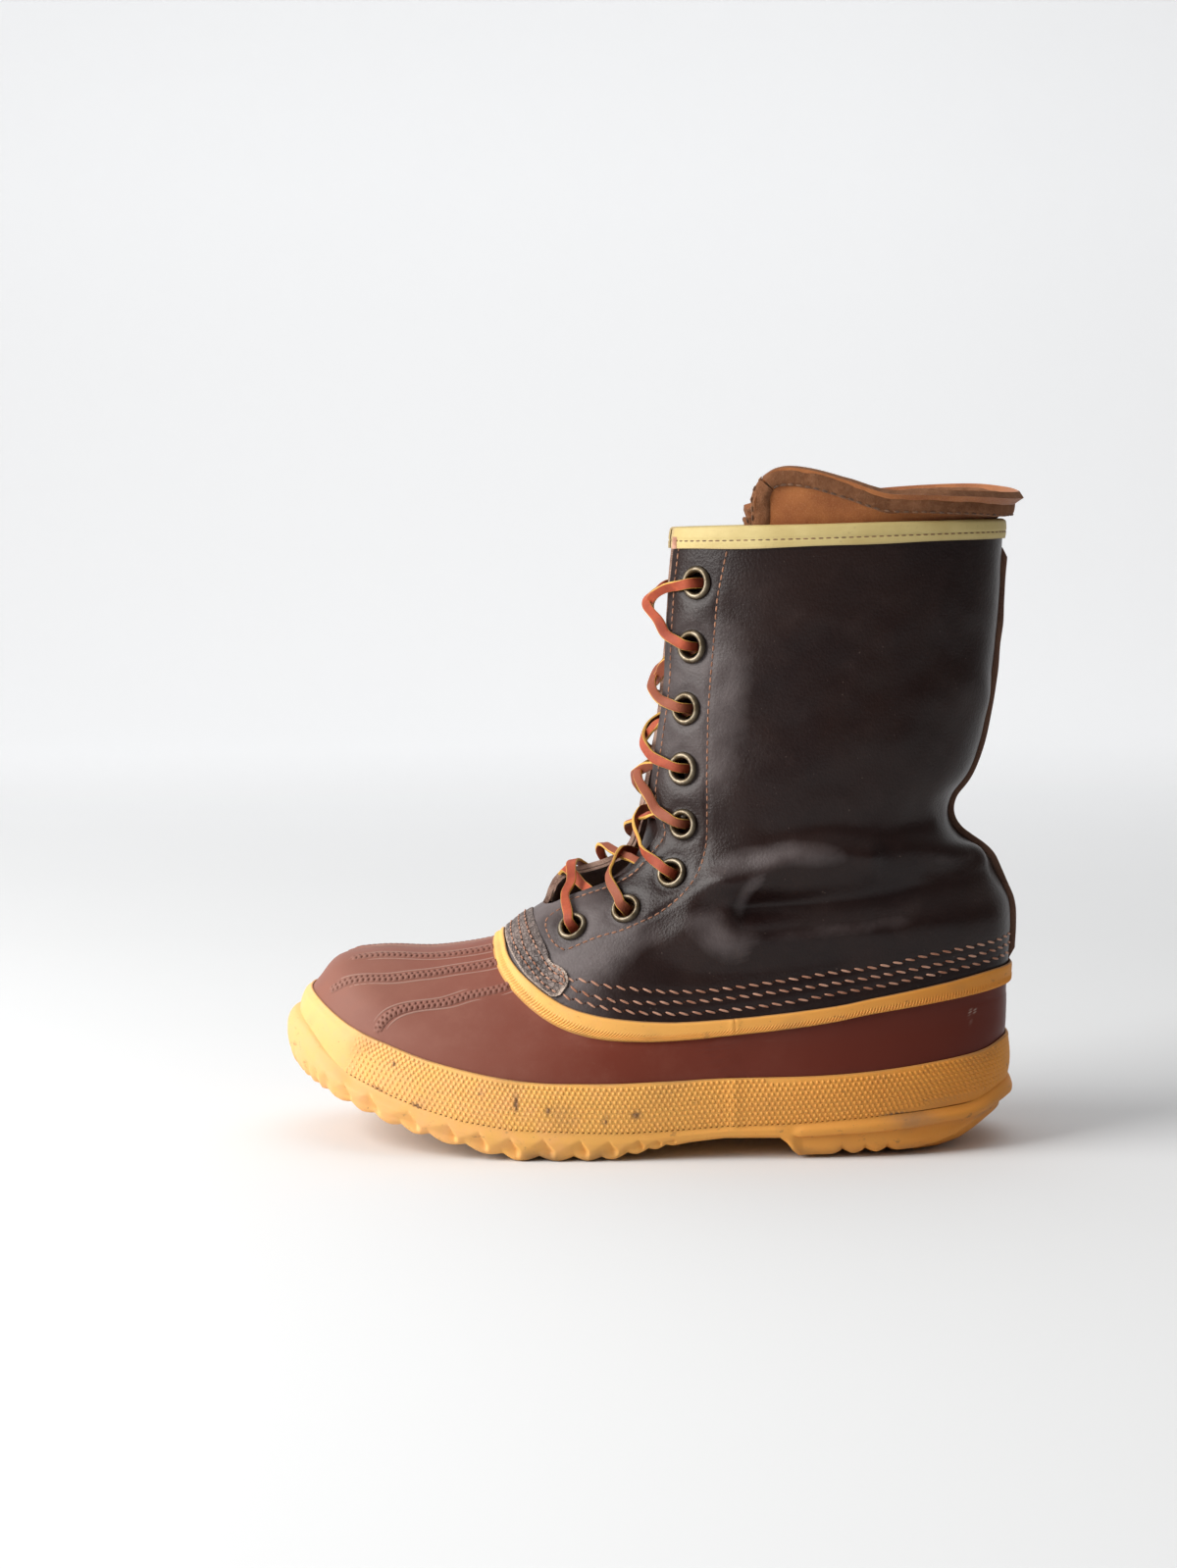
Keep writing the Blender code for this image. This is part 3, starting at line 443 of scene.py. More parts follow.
def closed_section(count, square=5.0):
    """count points round a rounded rectangle from -1 to 1 both ways, its first point last too."""
    angle = np.linspace(0, 2 * pi, count + 1) - 3 * pi / 4
    x, y = np.cos(angle), np.sin(angle)
    return (blunt(x, 2 / square), blunt(y, 2 / square))


def stand_on_sole(table, v, lift=0.0):
    """Lets the foot of a laid sheet follow the sole's top edge."""
    rise = sole_top(table[0, :, 0]) + GAP + lift - table[0, :, 2]
    table[..., 2] += share_of(1 - v) * rise
    return table


def capped(table):
    """The table with its first and last rows drawn together to a point."""
    ends = [part * 0 + part.mean(axis=1, keepdims=True) for part in (table[:1], table[-1:])]
    return np.concatenate([ends[0], table, ends[1]])


def strew(name, template, spots, finish):
    """One mesh of copies of a template mesh, each at a spot: (origin, along, across, up)."""
    verts = np.empty(len(template.vertices) * 3)
    template.vertices.foreach_get("co", verts)
    verts = verts.reshape(-1, 3)
    faces = [list(polygon.vertices) for polygon in template.polygons]
    origin, along, across, up = (np.asarray(part) for part in spots)
    placed = (
        origin[:, None]
        + verts[None, :, 0:1] * along[:, None]
        + verts[None, :, 1:2] * across[:, None]
        + verts[None, :, 2:3] * up[:, None]
    )
    mesh = bpy.data.meshes.new(name)
    count = len(verts)
    all_faces = [[v + n * count for v in face] for n in range(len(origin)) for face in faces]
    mesh.from_pydata(placed.reshape(-1, 3).tolist(), [], all_faces)
    obj = bpy.data.objects.new(name, mesh)
    bpy.context.scene.collection.objects.link(obj)
    mesh.materials.append(finish)
    shade(obj, 60)
    return obj


# ---------------------------------------------------------------- finishes

class Value:
    """A shader socket that is worked with like a number."""

    def __init__(self, finish, socket):
        self.finish = finish
        self.socket = socket

    def maths(self, operation, first, second):
        return self.finish.node("ShaderNodeMath", {0: first, 1: second}, operation=operation)

    def __add__(self, other):
        return self.maths("ADD", self, other)

    __radd__ = __add__

    def __sub__(self, other):
        return self.maths("SUBTRACT", self, other)

    def __rsub__(self, other):
        return self.maths("SUBTRACT", other, self)

    def __mul__(self, other):
        return self.maths("MULTIPLY", self, other)

    __rmul__ = __mul__

    def clipped(self, low, high):
        """0 at low, 1 at high, and straight between them."""
        return self.finish.node("ShaderNodeMapRange", {0: self, 1: low, 2: high, 3: 0.0, 4: 1.0})


class Finish:
    """A material under construction."""

    def __init__(self, name, **constants):
        self.material = bpy.data.materials.new(name)
        self.material.use_nodes = True
        self.tree = self.material.node_tree
        self.shader = self.tree.nodes["Principled BSDF"]
        self.place = self.node("ShaderNodeTexCoord", output="Object")
        self.set(**constants)

    def put(self, socket, value):
        """Links or sets one input socket."""
        if isinstance(value, Value):
            self.tree.links.new(value.socket, socket)
        else:
            if socket.type == "RGBA" and len(value) == 3:
                value = (*value, 1.0)
            socket.default_value = value

    def node(self, kind, inputs=None, output=0, **settings):
        """A node of any kind: its settings, then the values or links of its inputs."""
        made = self.tree.nodes.new(kind)
        for key, value in settings.items():
            setattr(made, key, value)
        for key, value in (inputs or {}).items():
            self.put(made.inputs[key], value)
        return Value(self, made.outputs[output])

    def along(self, axis):
        """One coordinate of the piece's own space."""
        return self.node("ShaderNodeSeparateXYZ", {0: self.place}, output=axis)

    def painted(self, name):
        """A number that the piece's mesh carries at each point."""
        return self.node("ShaderNodeAttribute", output="Fac", attribute_name=name)

    def stretched(self, scale, turn=0.0):
        return self.node("ShaderNodeMapping", {"Vector": self.place, "Scale": scale, "Rotation": (0, 0, turn)})

    def noise(self, per_metre, detail=3.0, rough=0.5, bent=0.0, place=None):
        return self.node("ShaderNodeTexNoise", {
            "Vector": place or self.place, "Scale": per_metre,
            "Detail": detail, "Roughness": rough, "Distortion": bent}, output="Fac")

    def cells(self, per_metre, place, feature="F1"):
        return self.node("ShaderNodeTexVoronoi", {"Vector": place, "Scale": per_metre}, feature=feature)

    def vector_maths(self, operation, first, second):
        return self.node("ShaderNodeVectorMath", {0: first, 1: second}, operation=operation)

    def mix(self, share, first, second):
        return self.node("ShaderNodeMix", {0: share, 6: first, 7: second}, output=2, data_type="RGBA")

    def ground(self, share, first, second):
        """The first layer of colour: first where share is 0, second where it is 1."""
        self.colour = self.mix(share, first, second)

    def coat(self, share, colour):
        """A further layer of colour, as thick as share."""
        self.colour = self.mix(share, self.colour, colour)

    def grain(self, height, depth, strength):
        """Raises the surface by height, and colours it with its layers."""
        bump = self.node("ShaderNodeBump", {"Height": height, "Distance": depth, "Strength": strength})
        self.set(Base_Color=self.colour, Normal=bump)

    def set(self, **inputs):
        for name, value in inputs.items():
            self.put(self.shader.inputs[name.replace("_", " ")], value)


def finish(**constants):
    """Makes a finish function into one that keeps its material and hands it out again."""
    def wrap(paint):
        def found():
            name = paint.__name__
            if name not in bpy.data.materials:
                paint(Finish(name, **constants))
            return bpy.data.materials[name]
        return found
    return wrap


def dyed(colour, *shares):
    return tuple(part * share for part, share in zip(colour, shares))


@finish(Specular_IOR_Level=0.25)
def waxed_leather(f):
    """Dark oiled leather: fine grain, patchy pull-up browns, a dried grey hem near the rubber, and painted
    sheen: grey highlights along the folds and on the facings.
    """
    broad = f.noise(26.0, 4.0, 0.55)
    patchy = f.noise(95.0, 5.0, 0.62)
    grain = f.cells(950.0, f.stretched((1.0, 1.0, 0.82)))
    fine = f.noise(2300.0, 3.0, 0.6)
    specks = f.noise(620.0, 2.0, 0.5).clipped(0.735, 0.775)
    f.ground(broad.clipped(0.36, 0.68), boot().leather_colour, (0.019, 0.0084, 0.0066))
    f.coat(patchy.clipped(0.52, 0.74) * 0.35, (0.030, 0.016, 0.014))
    # The mesh's wear share holds a grey hem by the rubber (real wear) and painted sheen: grey highlights along
    # the folds' ridges and on the facings.
    dust_and_sheen = (f.painted("wear") * (0.55 + 0.9 * patchy)).clipped(0.15, 0.85)
    f.coat(dust_and_sheen, (0.180, 0.150, 0.150))
    f.coat(specks * 0.5, (0.13, 0.095, 0.08))
    scratch = f.noise(3.0, 3.0, 0.6, place=f.stretched((40.0, 40.0, 520.0), 0.5)).clipped(0.60, 0.75)
    height = grain * 0.5 + fine * 0.35 + patchy * 0.9 - 0.25 * scratch
    f.grain(height, 0.00022, 0.65)
    f.set(Roughness=0.23 + 0.14 * patchy + 0.07 * fine + 0.24 * dust_and_sheen)


@finish(Roughness=0.92, Specular_IOR_Level=0.2, Sheen_Weight=0.3)
def flesh_side(f):
    """The napped brown back of the leather."""
    nap = f.noise(1500.0, 4.0, 0.65)
    broad = f.noise(60.0, 3.0)
    f.ground(broad.clipped(0.35, 0.7), (0.085, 0.040, 0.026), (0.150, 0.075, 0.048))
    f.coat(nap.clipped(0.45, 0.7) * 0.5, (0.20, 0.11, 0.07))
    f.grain(nap, 0.0003, 0.7)


@finish(Roughness=0.9, Specular_IOR_Level=0.2)
def cut_edge(f):
    """The raw cut edge of leather, fibrous and lighter than its face."""
    fibre = f.noise(2400.0, 4.0, 0.7)
    broad = f.noise(110.0, 3.0)
    f.ground(broad.clipped(0.4, 0.65), (0.17, 0.095, 0.070), (0.38, 0.245, 0.190))
    f.coat(fibre.clipped(0.5, 0.72), (0.54, 0.39, 0.32))
    f.grain(fibre, 0.0004, 0.8)


@finish(Specular_IOR_Level=0.45)
def cracked_leather(f):
    """The stiff grey patch over the vamp's top, its finish broken into small islands."""
    stray = f.node("ShaderNodeTexNoise", {"Vector": f.place, "Scale": 240.0}, output="Color")
    bent = f.vector_maths("ADD", f.place, f.vector_maths("MULTIPLY", stray, (0.003, 0.003, 0.003)))
    crack = f.cells(520.0, bent, "DISTANCE_TO_EDGE").clipped(0.0, 0.11)
    broad = f.noise(60.0, 4.0, 0.6)
    fine = f.noise(1800.0, 3.0, 0.6)
    f.ground(broad.clipped(0.35, 0.68), (0.092, 0.072, 0.068), (0.270, 0.205, 0.180))
    spots = f.noise(430.0, 4.0, 0.65).clipped(0.52, 0.66)
    f.coat(spots * 0.7, (0.024, 0.019, 0.018))
    f.coat((1 - crack) * 0.55, (0.030, 0.022, 0.020))
    f.coat(f.painted("wear") * (0.3 + fine).clipped(0.35, 0.85), (0.60, 0.47, 0.385))
    height = crack * 0.8 + fine * 0.3 - spots * 0.8
    f.grain(height, 0.00045, 0.85)
    f.set(Roughness=0.44 + 0.3 * broad)


@finish(Specular_IOR_Level=0.22)
def bloomed_rubber(f):
    """Matt red-brown rubber with faint rubs, paler towards the toe and darker towards the heel: partly a pale
    bloomed film, partly painted light and shade that follow the key light from the toe's side; painted shade in
    the knurl's dimples.
    """
    broad = f.noise(18.0, 4.0, 0.55)
    cloud = f.noise(70.0, 5.0, 0.65)
    fine = f.noise(1500.0, 3.0, 0.6)
    dust = f.noise(850.0, 3.0, 0.55).clipped(0.64, 0.78)
    base = boot().rubber_colour
    # Painted shade and light, partly a pale bloomed film: a darkened copy of the colour towards the heel, the
    # full colour towards the toe.
    bloom_and_light = (f.along("X") * 5.5 + 0.31 + 0.25 * broad).clipped(0.0, 1.0)
    f.ground(bloom_and_light, dyed(base, 0.52, 0.44, 0.44), base)
    # Paler towards the toe: painted light over the bloomed film.
    pale_film_and_light = (f.along("X") * 8.5 - 0.36 + 0.6 * cloud).clipped(0.0, 1.0)
    f.coat(pale_film_and_light * 0.95, (0.245, 0.104, 0.076))
    f.coat(cloud.clipped(0.50, 0.78) * bloom_and_light * 0.4, (0.29, 0.110, 0.075))
    f.coat(dust * 0.25 * bloom_and_light, (0.30, 0.15, 0.11))
    rub = f.noise(3.2, 3.0, 0.6, place=f.stretched((16.0, 16.0, 260.0), 0.35)).clipped(0.64, 0.80)
    f.coat(rub * 0.18, (0.26, 0.12, 0.085))
    # The wear share holds pale scratches and ridge lines, and a painted highlight on the knurl's raised nodes.
    f.coat(f.painted("wear"), (0.56, 0.44, 0.37))
    # Painted shade in the knurl's dimples.
    f.coat(f.painted("pit") * 0.8, dyed(base, 0.30, 0.30, 0.30))
    height = fine * 0.4 + cloud * 1.2
    f.grain(height, 0.00012, 0.5)
    f.set(Roughness=0.34 + 0.14 * cloud + 0.16 * bloom_and_light)


GUM = {"Specular_IOR_Level": 0.4, "Subsurface_Weight": 0.06, "Subsurface_Scale": 0.003}
THREAD = {"Roughness": 0.8, "Specular_IOR_Level": 0.3, "Sheen_Weight": 0.2}


def gum(f, soil, tone):
    """Yellow-tan gum rubber, with dust in its hollows and dark scuffs where soil is high; deeper towards the
    heel and paler towards the toe, as painted shade and light.
    """
    broad = f.noise(22.0, 4.0, 0.6)
    cloud = f.noise(140.0, 5.0, 0.65)
    fine = f.noise(1300.0, 3.0, 0.6)
    base = boot().gum_colour
    # A deeper copy of the colour for the heel and a paler one for the toe: painted shade and painted light, as
    # from the key light on the toe's side.
    deep = dyed(base, 0.77, 0.55, 0.29)
    pale = (0.86, base[1] * 0.85, base[2] * 1.85)
    base = dyed(base, tone, tone, tone)
    lit_toe_share = (f.along("X") * 5.0 + 0.42 + 0.35 * broad).clipped(0.0, 1.0)
    f.ground(lit_toe_share, deep, base)
    # Painted light: paler towards the toe, broken up by cloudy patches.
    f.coat((cloud * 0.6 + f.along("X") * 2.4).clipped(0.36, 1.05), pale)
    scuff = f.noise(190.0, 4.0, 0.62, place=f.stretched((1.0, 1.0, 1.9), 0.3)).clipped(0.66 - soil * 0.05, 0.74)
    f.coat(scuff * (0.45 + soil * 0.3), (0.16, 0.075, 0.032))
    specks = f.noise(900.0, 2.0, 0.5).clipped(0.70, 0.76)
    f.coat(specks * 0.5, (0.20, 0.10, 0.05))
    f.coat(f.painted("smudge") * (0.2 + cloud).clipped(0.3, 0.9), (0.235, 0.165, 0.115))
    f.coat(f.painted("wear") * (0.35 + 1.0 * cloud), (0.24, 0.125, 0.055))
    height = fine * 0.5 + cloud * 1.0
    f.grain(height, 0.00012, 0.55)
    f.set(Roughness=0.52 + 0.22 * cloud)


@finish(**GUM)
def gum_band(f):
    gum(f, 0.2, 1.0)


@finish(**GUM)
def gum_sole(f):
    gum(f, 0.75, 0.9)


@finish(Specular_IOR_Level=0.45)
def cream_binding(f):
    """Smooth cream-yellow leather, softly soiled."""
    broad = f.noise(55.0, 4.0, 0.6)
    fine = f.noise(1300.0, 4.0, 0.65)
    base = boot().binding_colour
    f.ground(broad.clipped(0.35, 0.7), dyed(base, 0.84, 0.80, 0.72), base)
    marks = f.noise(420.0, 3.0, 0.6).clipped(0.66, 0.78)
    f.coat(marks * 0.55, (0.30, 0.20, 0.10))
    f.coat(f.painted("wear") * 0.8, (0.36, 0.25, 0.13))
    f.grain(fine, 0.00015, 0.6)
    f.set(Roughness=0.5 + 0.2 * broad)


@finish(Roughness=0.98, Specular_IOR_Level=0.1, Sheen_Weight=0.22, Sheen_Roughness=0.6,
        Sheen_Tint=(0.75, 0.5, 0.34))
def felt_hem(f):
    """Brown rolled felt, fibrous in every direction."""
    fibre = f.noise(1100.0, 6.0, 0.72, 1.2)
    wool = f.noise(260.0, 5.0, 0.68)
    broad = f.noise(45.0, 3.0)
    base = boot().felt_colour
    f.ground(broad.clipped(0.3, 0.7), dyed(base, 0.62, 0.58, 0.55), base)
    f.coat(wool.clipped(0.45, 0.72) * 0.7, (0.27, 0.125, 0.062))
    f.coat(fibre.clipped(0.55, 0.75) * 0.6, (0.36, 0.19, 0.11))
    f.grain(fibre * 0.6 + wool, 0.0009, 0.9)


@finish(Roughness=0.95, Specular_IOR_Level=0.12, Sheen_Weight=0.4, Sheen_Roughness=0.5)
def tan_wall(f):
    """The liner's tan-orange napped wall."""
    nap = f.noise(1400.0, 5.0, 0.7)
    broad = f.noise(70.0, 4.0, 0.6)
    f.ground(broad.clipped(0.35, 0.7), (0.27, 0.085, 0.026), (0.42, 0.150, 0.046))
    f.coat(nap.clipped(0.5, 0.75) * 0.5, (0.52, 0.235, 0.090))
    f.grain(nap, 0.0004, 0.8)


@finish(Metallic=1.0)
def aged_brass(f):
    """Brass gone grey-tan, dark in its rim and bare on its crown."""
    broad = f.noise(240.0, 4.0, 0.6)
    fine = f.noise(2200.0, 3.0, 0.6)
    crown = f.painted("wear")
    base = boot().brass_colour
    f.ground(broad.clipped(0.35, 0.65), dyed(base, 0.62, 0.58, 0.52), base)
    f.coat(crown * broad.clipped(0.42, 0.62) * 0.7, (0.38, 0.325, 0.245))
    f.coat((1 - crown).clipped(0.25, 0.9) * 0.85, (0.060, 0.045, 0.032))
    f.grain(broad + fine * 0.4, 0.00012, 0.6)
    f.set(Roughness=0.34 + 0.25 * broad + 0.15 * (1 - crown))


@finish(Specular_IOR_Level=0.4)
def hide_lace(f):
    """Orange-red hide: grain side, darker napped back and yellow cut edges, by the way round."""
    edge = f.painted("edge")
    back = f.painted("back")
    broad = f.noise(130.0, 4.0, 0.6)
    fine = f.noise(1700.0, 4.0, 0.65)
    base = boot().lace_colour
    f.ground(broad.clipped(0.35, 0.68), dyed(base, 0.66, 0.52, 0.5), base)
    f.coat(back, (0.27, 0.068, 0.030))
    f.coat((edge * (0.65 + 0.8 * broad)).clipped(0.35, 0.75), (0.66, 0.375, 0.075))
    marks = f.noise(640.0, 3.0, 0.6).clipped(0.62, 0.74)
    f.coat(marks * 0.45, (0.15, 0.045, 0.025))
    f.grain(fine + broad * 1.5, 0.0002, 0.8)
    f.set(Roughness=0.50 + 0.3 * broad)


def thread(f, colour, dark):
    """Twisted thread of one colour, dirty in places."""
    f.ground(f.noise(160.0).clipped(0.38, 0.66), dark, colour)
    f.grain(f.noise(2600.0, 3.0, 0.6), 0.0002, 0.7)


@finish(**THREAD)
def pale_thread(f):
    thread(f, boot().stitch_colour, (0.33, 0.135, 0.075))


@finish(**THREAD)
def tan_thread(f):
    thread(f, (0.40, 0.185, 0.105), (0.20, 0.085, 0.048))


@finish(**THREAD)
def brown_thread(f):
    thread(f, (0.24, 0.115, 0.055), (0.10, 0.05, 0.028))


@finish(Roughness=0.95, Specular_IOR_Level=0.1)
def dark_hole(f):
    """The shadowed inside of a needle hole."""
    f.set(Base_Color=f.mix(f.noise(700.0), (0.020, 0.009, 0.006), (0.060, 0.026, 0.016)))


@finish(Roughness=1.0, Specular_IOR_Level=0.0, Emission_Strength=0.385)
def studio_paper(f):
    """Plain matt paper under and behind the boot, which glows as painted light where its far share is high: up
    its back wall, and on the floor towards and behind the camera.
    """
    f.set(Base_Color=f.mix(f.noise(0.8, 2.0), (0.722, 0.735, 0.750), (0.742, 0.755, 0.768)),
          Emission_Color=f.mix(f.painted("far"), (0.0, 0.0, 0.0), (0.98, 0.985, 1.0)))


@finish(Roughness=1.0, Specular_IOR_Level=0.0, Emission_Strength=1.0)
def pale_surround(f):
    """The even pale grey that stands behind the stage."""
    f.set(Base_Color=(0.0, 0.0, 0.0),
          Emission_Color=f.mix(f.noise(0.4, 2.0), (0.84, 0.84, 0.845), (0.86, 0.86, 0.865)))


# ---------------------------------------------------------------- sizes and colours

def colour_property(name, description, default):
    return FloatVectorProperty(
        name=name, description=description, subtype="COLOR", size=3, min=0, max=1, default=default)


def length_property(name, description, default, low, high):
    """A length, given in millimetres and kept in metres."""
    return FloatProperty(
        name=name, description=description, unit="LENGTH", default=default * MM, min=low * MM, max=high * MM)


class PacBootSettings(bpy.types.PropertyGroup):
    """Sizes and colours that change the look of the boot without changing its fit."""

    leather_colour: colour_property("Leather", "Colour of the oiled leather", (0.0120, 0.0050, 0.0046))
    rubber_colour: colour_property("Rubber", "Colour of the vamp's rubber", (0.215, 0.046, 0.026))
    gum_colour: colour_property("Gum", "Colour of the sole and its bands", (0.89, 0.487, 0.126))
    binding_colour: colour_property("Binding", "Colour of the collar's binding", (0.60, 0.48, 0.205))
    felt_colour: colour_property("Felt", "Colour of the liner's hem", (0.200, 0.080, 0.036))
    brass_colour: colour_property("Brass", "Colour of the eyelets", (0.200, 0.162, 0.112))
    lace_colour: colour_property("Lace", "Colour of the lace's grain side", (0.43, 0.082, 0.030))
    stitch_colour: colour_property("Stitches", "Colour of the heavy stitches", (0.56, 0.31, 0.215))
    crease_depth: FloatProperty(
        name="Crease depth", description="How deep the shaft's creases are, 1 as worn",
        default=1.0, min=0.0, max=1.5)
    dot_pitch: length_property("Dot pitch", "Distance between the side band's dots", 2.25, 1.8, 4.0)
    dot_height: length_property("Dot height", "How far the side band's dots stand out", 0.44, 0.1, 1.0)
    rib_pitch: length_property("Rib pitch", "Distance between the top strip's fine ribs", 1.3, 1.0, 2.5)
    strip_stitch: length_property("Strip stitch", "Distance between the heavy stitches", 5.4, 3.0, 7.0)
    fine_stitch: length_property("Fine stitch", "Distance between the fine stitches", 3.2, 1.8, 5.0)
    patch_stitch: length_property("Patch stitch", "Distance between the patch's stitches", 3.1, 2.0, 5.0)
    lace_width: length_property("Lace width", "Width of the hide lace", 4.0, 2.0, 5.0)
    lace_thickness: length_property("Lace thickness", "Thickness of the hide lace", 1.5, 0.8, 2.0)


def boot():
    """The sizes and colours in use."""
    return bpy.context.scene.pac_boot


# ---------------------------------------------------------------- lines on the surface

THROAT_EDGE = (
    (0.953, 8.28), (0.946, 8.64), (0.922, 9.00), (0.904, 9.26), (0.890, 9.50), (0.876, 9.81),
    (0.868, 10.15), (0.859, 10.54), (0.846, 10.88), (0.840, 11.10), (0.843, 11.26), (0.853, 11.40),
    (0.870, 11.56), (0.889, 11.84), (0.896, 12.10), (0.897, 12.32), (0.893, 13.20), (0.894, 13.60),
    (0.898, 13.95), (0.902, 14.25), (0.905, 14.50), (0.900, 14.72), (0.894, 15.00),
)
FACING_STITCH = (
    (0.724, 14.78), (0.732, 14.60), (0.740, 14.40), (0.742, 14.15), (0.740, 13.80),
    (0.737, 13.45), (0.730, 13.05), (0.722, 12.50), (0.712, 11.95), (0.702, 11.40), (0.693, 10.94),
    (0.683, 10.50), (0.678, 10.06), (0.680, 9.71), (0.690, 9.25), (0.706, 8.97),
    (0.722, 8.70), (0.742, 8.48), (0.756, 8.26), (0.767, 8.05), (0.778, 7.86),
)
FACING_CORNER = (
    (0.778, 7.86), (0.800, 7.82), (0.828, 7.82), (0.856, 7.85), (0.884, 7.91), (0.902, 8.00),
    (0.909, 8.16), (0.909, 8.33), (0.902, 8.51),
)
STRIP_STITCHES = (
    ((1.0, 7.60), (0.914, 7.57), (0.856, 7.53), (0.806, 7.47), (0.774, 7.42), (0.746, 7.41), (0.714, 7.47),
     (0.692, 7.55), (0.660, 7.60), (0.624, 7.64), (0.586, 7.69), (0.546, 7.70), (0.508, 7.71), (0.436, 7.80),
     (0.388, 7.84), (0.332, 7.83), (0.264, 7.90), (0.170, 7.88), (0.108, 7.87), (0.030, 7.88)),
    ((1.0, 7.42), (0.926, 7.38), (0.866, 7.29), (0.810, 7.27), (0.766, 7.23), (0.736, 7.28), (0.706, 7.33),
     (0.668, 7.35), (0.636, 7.37), (0.598, 7.40), (0.554, 7.44), (0.502, 7.49), (0.432, 7.56), (0.330, 7.60),
     (0.200, 7.64), (0.030, 7.64)),
    ((1.0, 7.16), (0.936, 7.12), (0.888, 7.11), (0.816, 7.12), (0.742, 7.08), (0.698, 7.12), (0.666, 7.16),
     (0.628, 7.19), (0.590, 7.21), (0.528, 7.22), (0.498, 7.22), (0.426, 7.26), (0.380, 7.33),
     (0.324, 7.35), (0.258, 7.40), (0.164, 7.41), (0.030, 7.41)),
)
PATCH_END = 0.704
PATCH_SHARES = np.array((
    0, 0.02, 0.05, 0.09, 0.14, 0.20, 0.27, 0.34, 0.41, 0.48, 0.55, 0.62, 0.69, 0.76, 0.83,
    0.89, 0.94, 0.975, 1.0))
PATCH_TOP = (
    (0.704, 7.18), (0.706, 7.32), (0.710, 7.41), (0.718, 7.48), (0.730, 7.54), (0.745, 7.56), (0.760, 7.55),
    (0.775, 7.52), (0.790, 7.54), (0.805, 7.61), (0.830, 7.67), (0.860, 7.71), (0.910, 7.76), (1.0, 7.78),
)
BAND_TOP = (
    (0.0, 2.42), (0.072, 2.39), (0.138, 2.17), (0.226, 2.13), (0.334, 2.05), (0.416, 2.07),
    (0.454, 1.98), (0.492, 1.92), (0.552, 2.06), (0.602, 2.11), (0.658, 2.03), (0.706, 1.92),
    (0.742, 1.77), (0.782, 1.60), (0.820, 1.53), (0.876, 1.52), (1.0, 1.52),
)
STRIP_LOW = (
    (0.0, 6.36), (0.076, 6.35), (0.154, 6.35), (0.314, 6.35), (0.366, 6.17), (0.410, 6.06),
    (0.450, 6.03), (0.482, 5.95), (0.532, 5.96), (0.624, 5.98), (0.736, 5.99), (0.852, 5.93),
    (0.922, 5.95), (1.0, 5.98),
)
STRIP_TOP = (
    (0.0, 7.13), (0.074, 7.14), (0.162, 7.16), (0.322, 7.06), (0.374, 6.98), (0.462, 6.97),
    (0.554, 7.00), (0.668, 6.93), (0.772, 6.89), (0.832, 6.81), (0.892, 6.74), (0.942, 6.82),
    (1.0, 6.84),
)
VAMP_RIDGES = (
    ((0.892, 2.05), (0.870, 2.60), (0.858, 3.43), (0.856, 4.02), (0.872, 4.58), (0.890, 5.20),
     (0.898, 5.81), (0.899, 5.98)),
    ((0.734, 1.90), (0.742, 2.30), (0.748, 2.94), (0.760, 3.73), (0.770, 4.51), (0.796, 5.16),
     (0.816, 5.89), (0.818, 5.98)),
    ((0.946, 3.20), (0.950, 3.72), (0.954, 4.77), (0.958, 5.78), (0.958, 5.98)),
)
RIDGE_LINE_OFFSET = 3.4 * MM
HEEL_SCRATCHES = (((0.171, 5.05), (0.168, 4.4), (0.166, 3.7)), ((0.160, 4.9), (0.159, 4.5)))
SIDE_SEAM = (((0.456, 5.95), (0.438, 4.0), (0.419, 2.05)), ((0.445, 5.95), (0.427, 4.0), (0.407, 2.05)))
EYELET_PLACES = (
    (-0.0184, 0.2315), (-0.0165, 0.2056), (-0.0142, 0.1804), (-0.0131, 0.1560),
    (-0.0131, 0.1335), (-0.0083, 0.1141), (0.0101, 0.0993), (0.0319, 0.0912),
)
EYELET_HOLE = 5.2 * MM
EYELET_DENT = 7.3 * MM
EYELETS = [solve_place(x, z) for x, z in EYELET_PLACES]

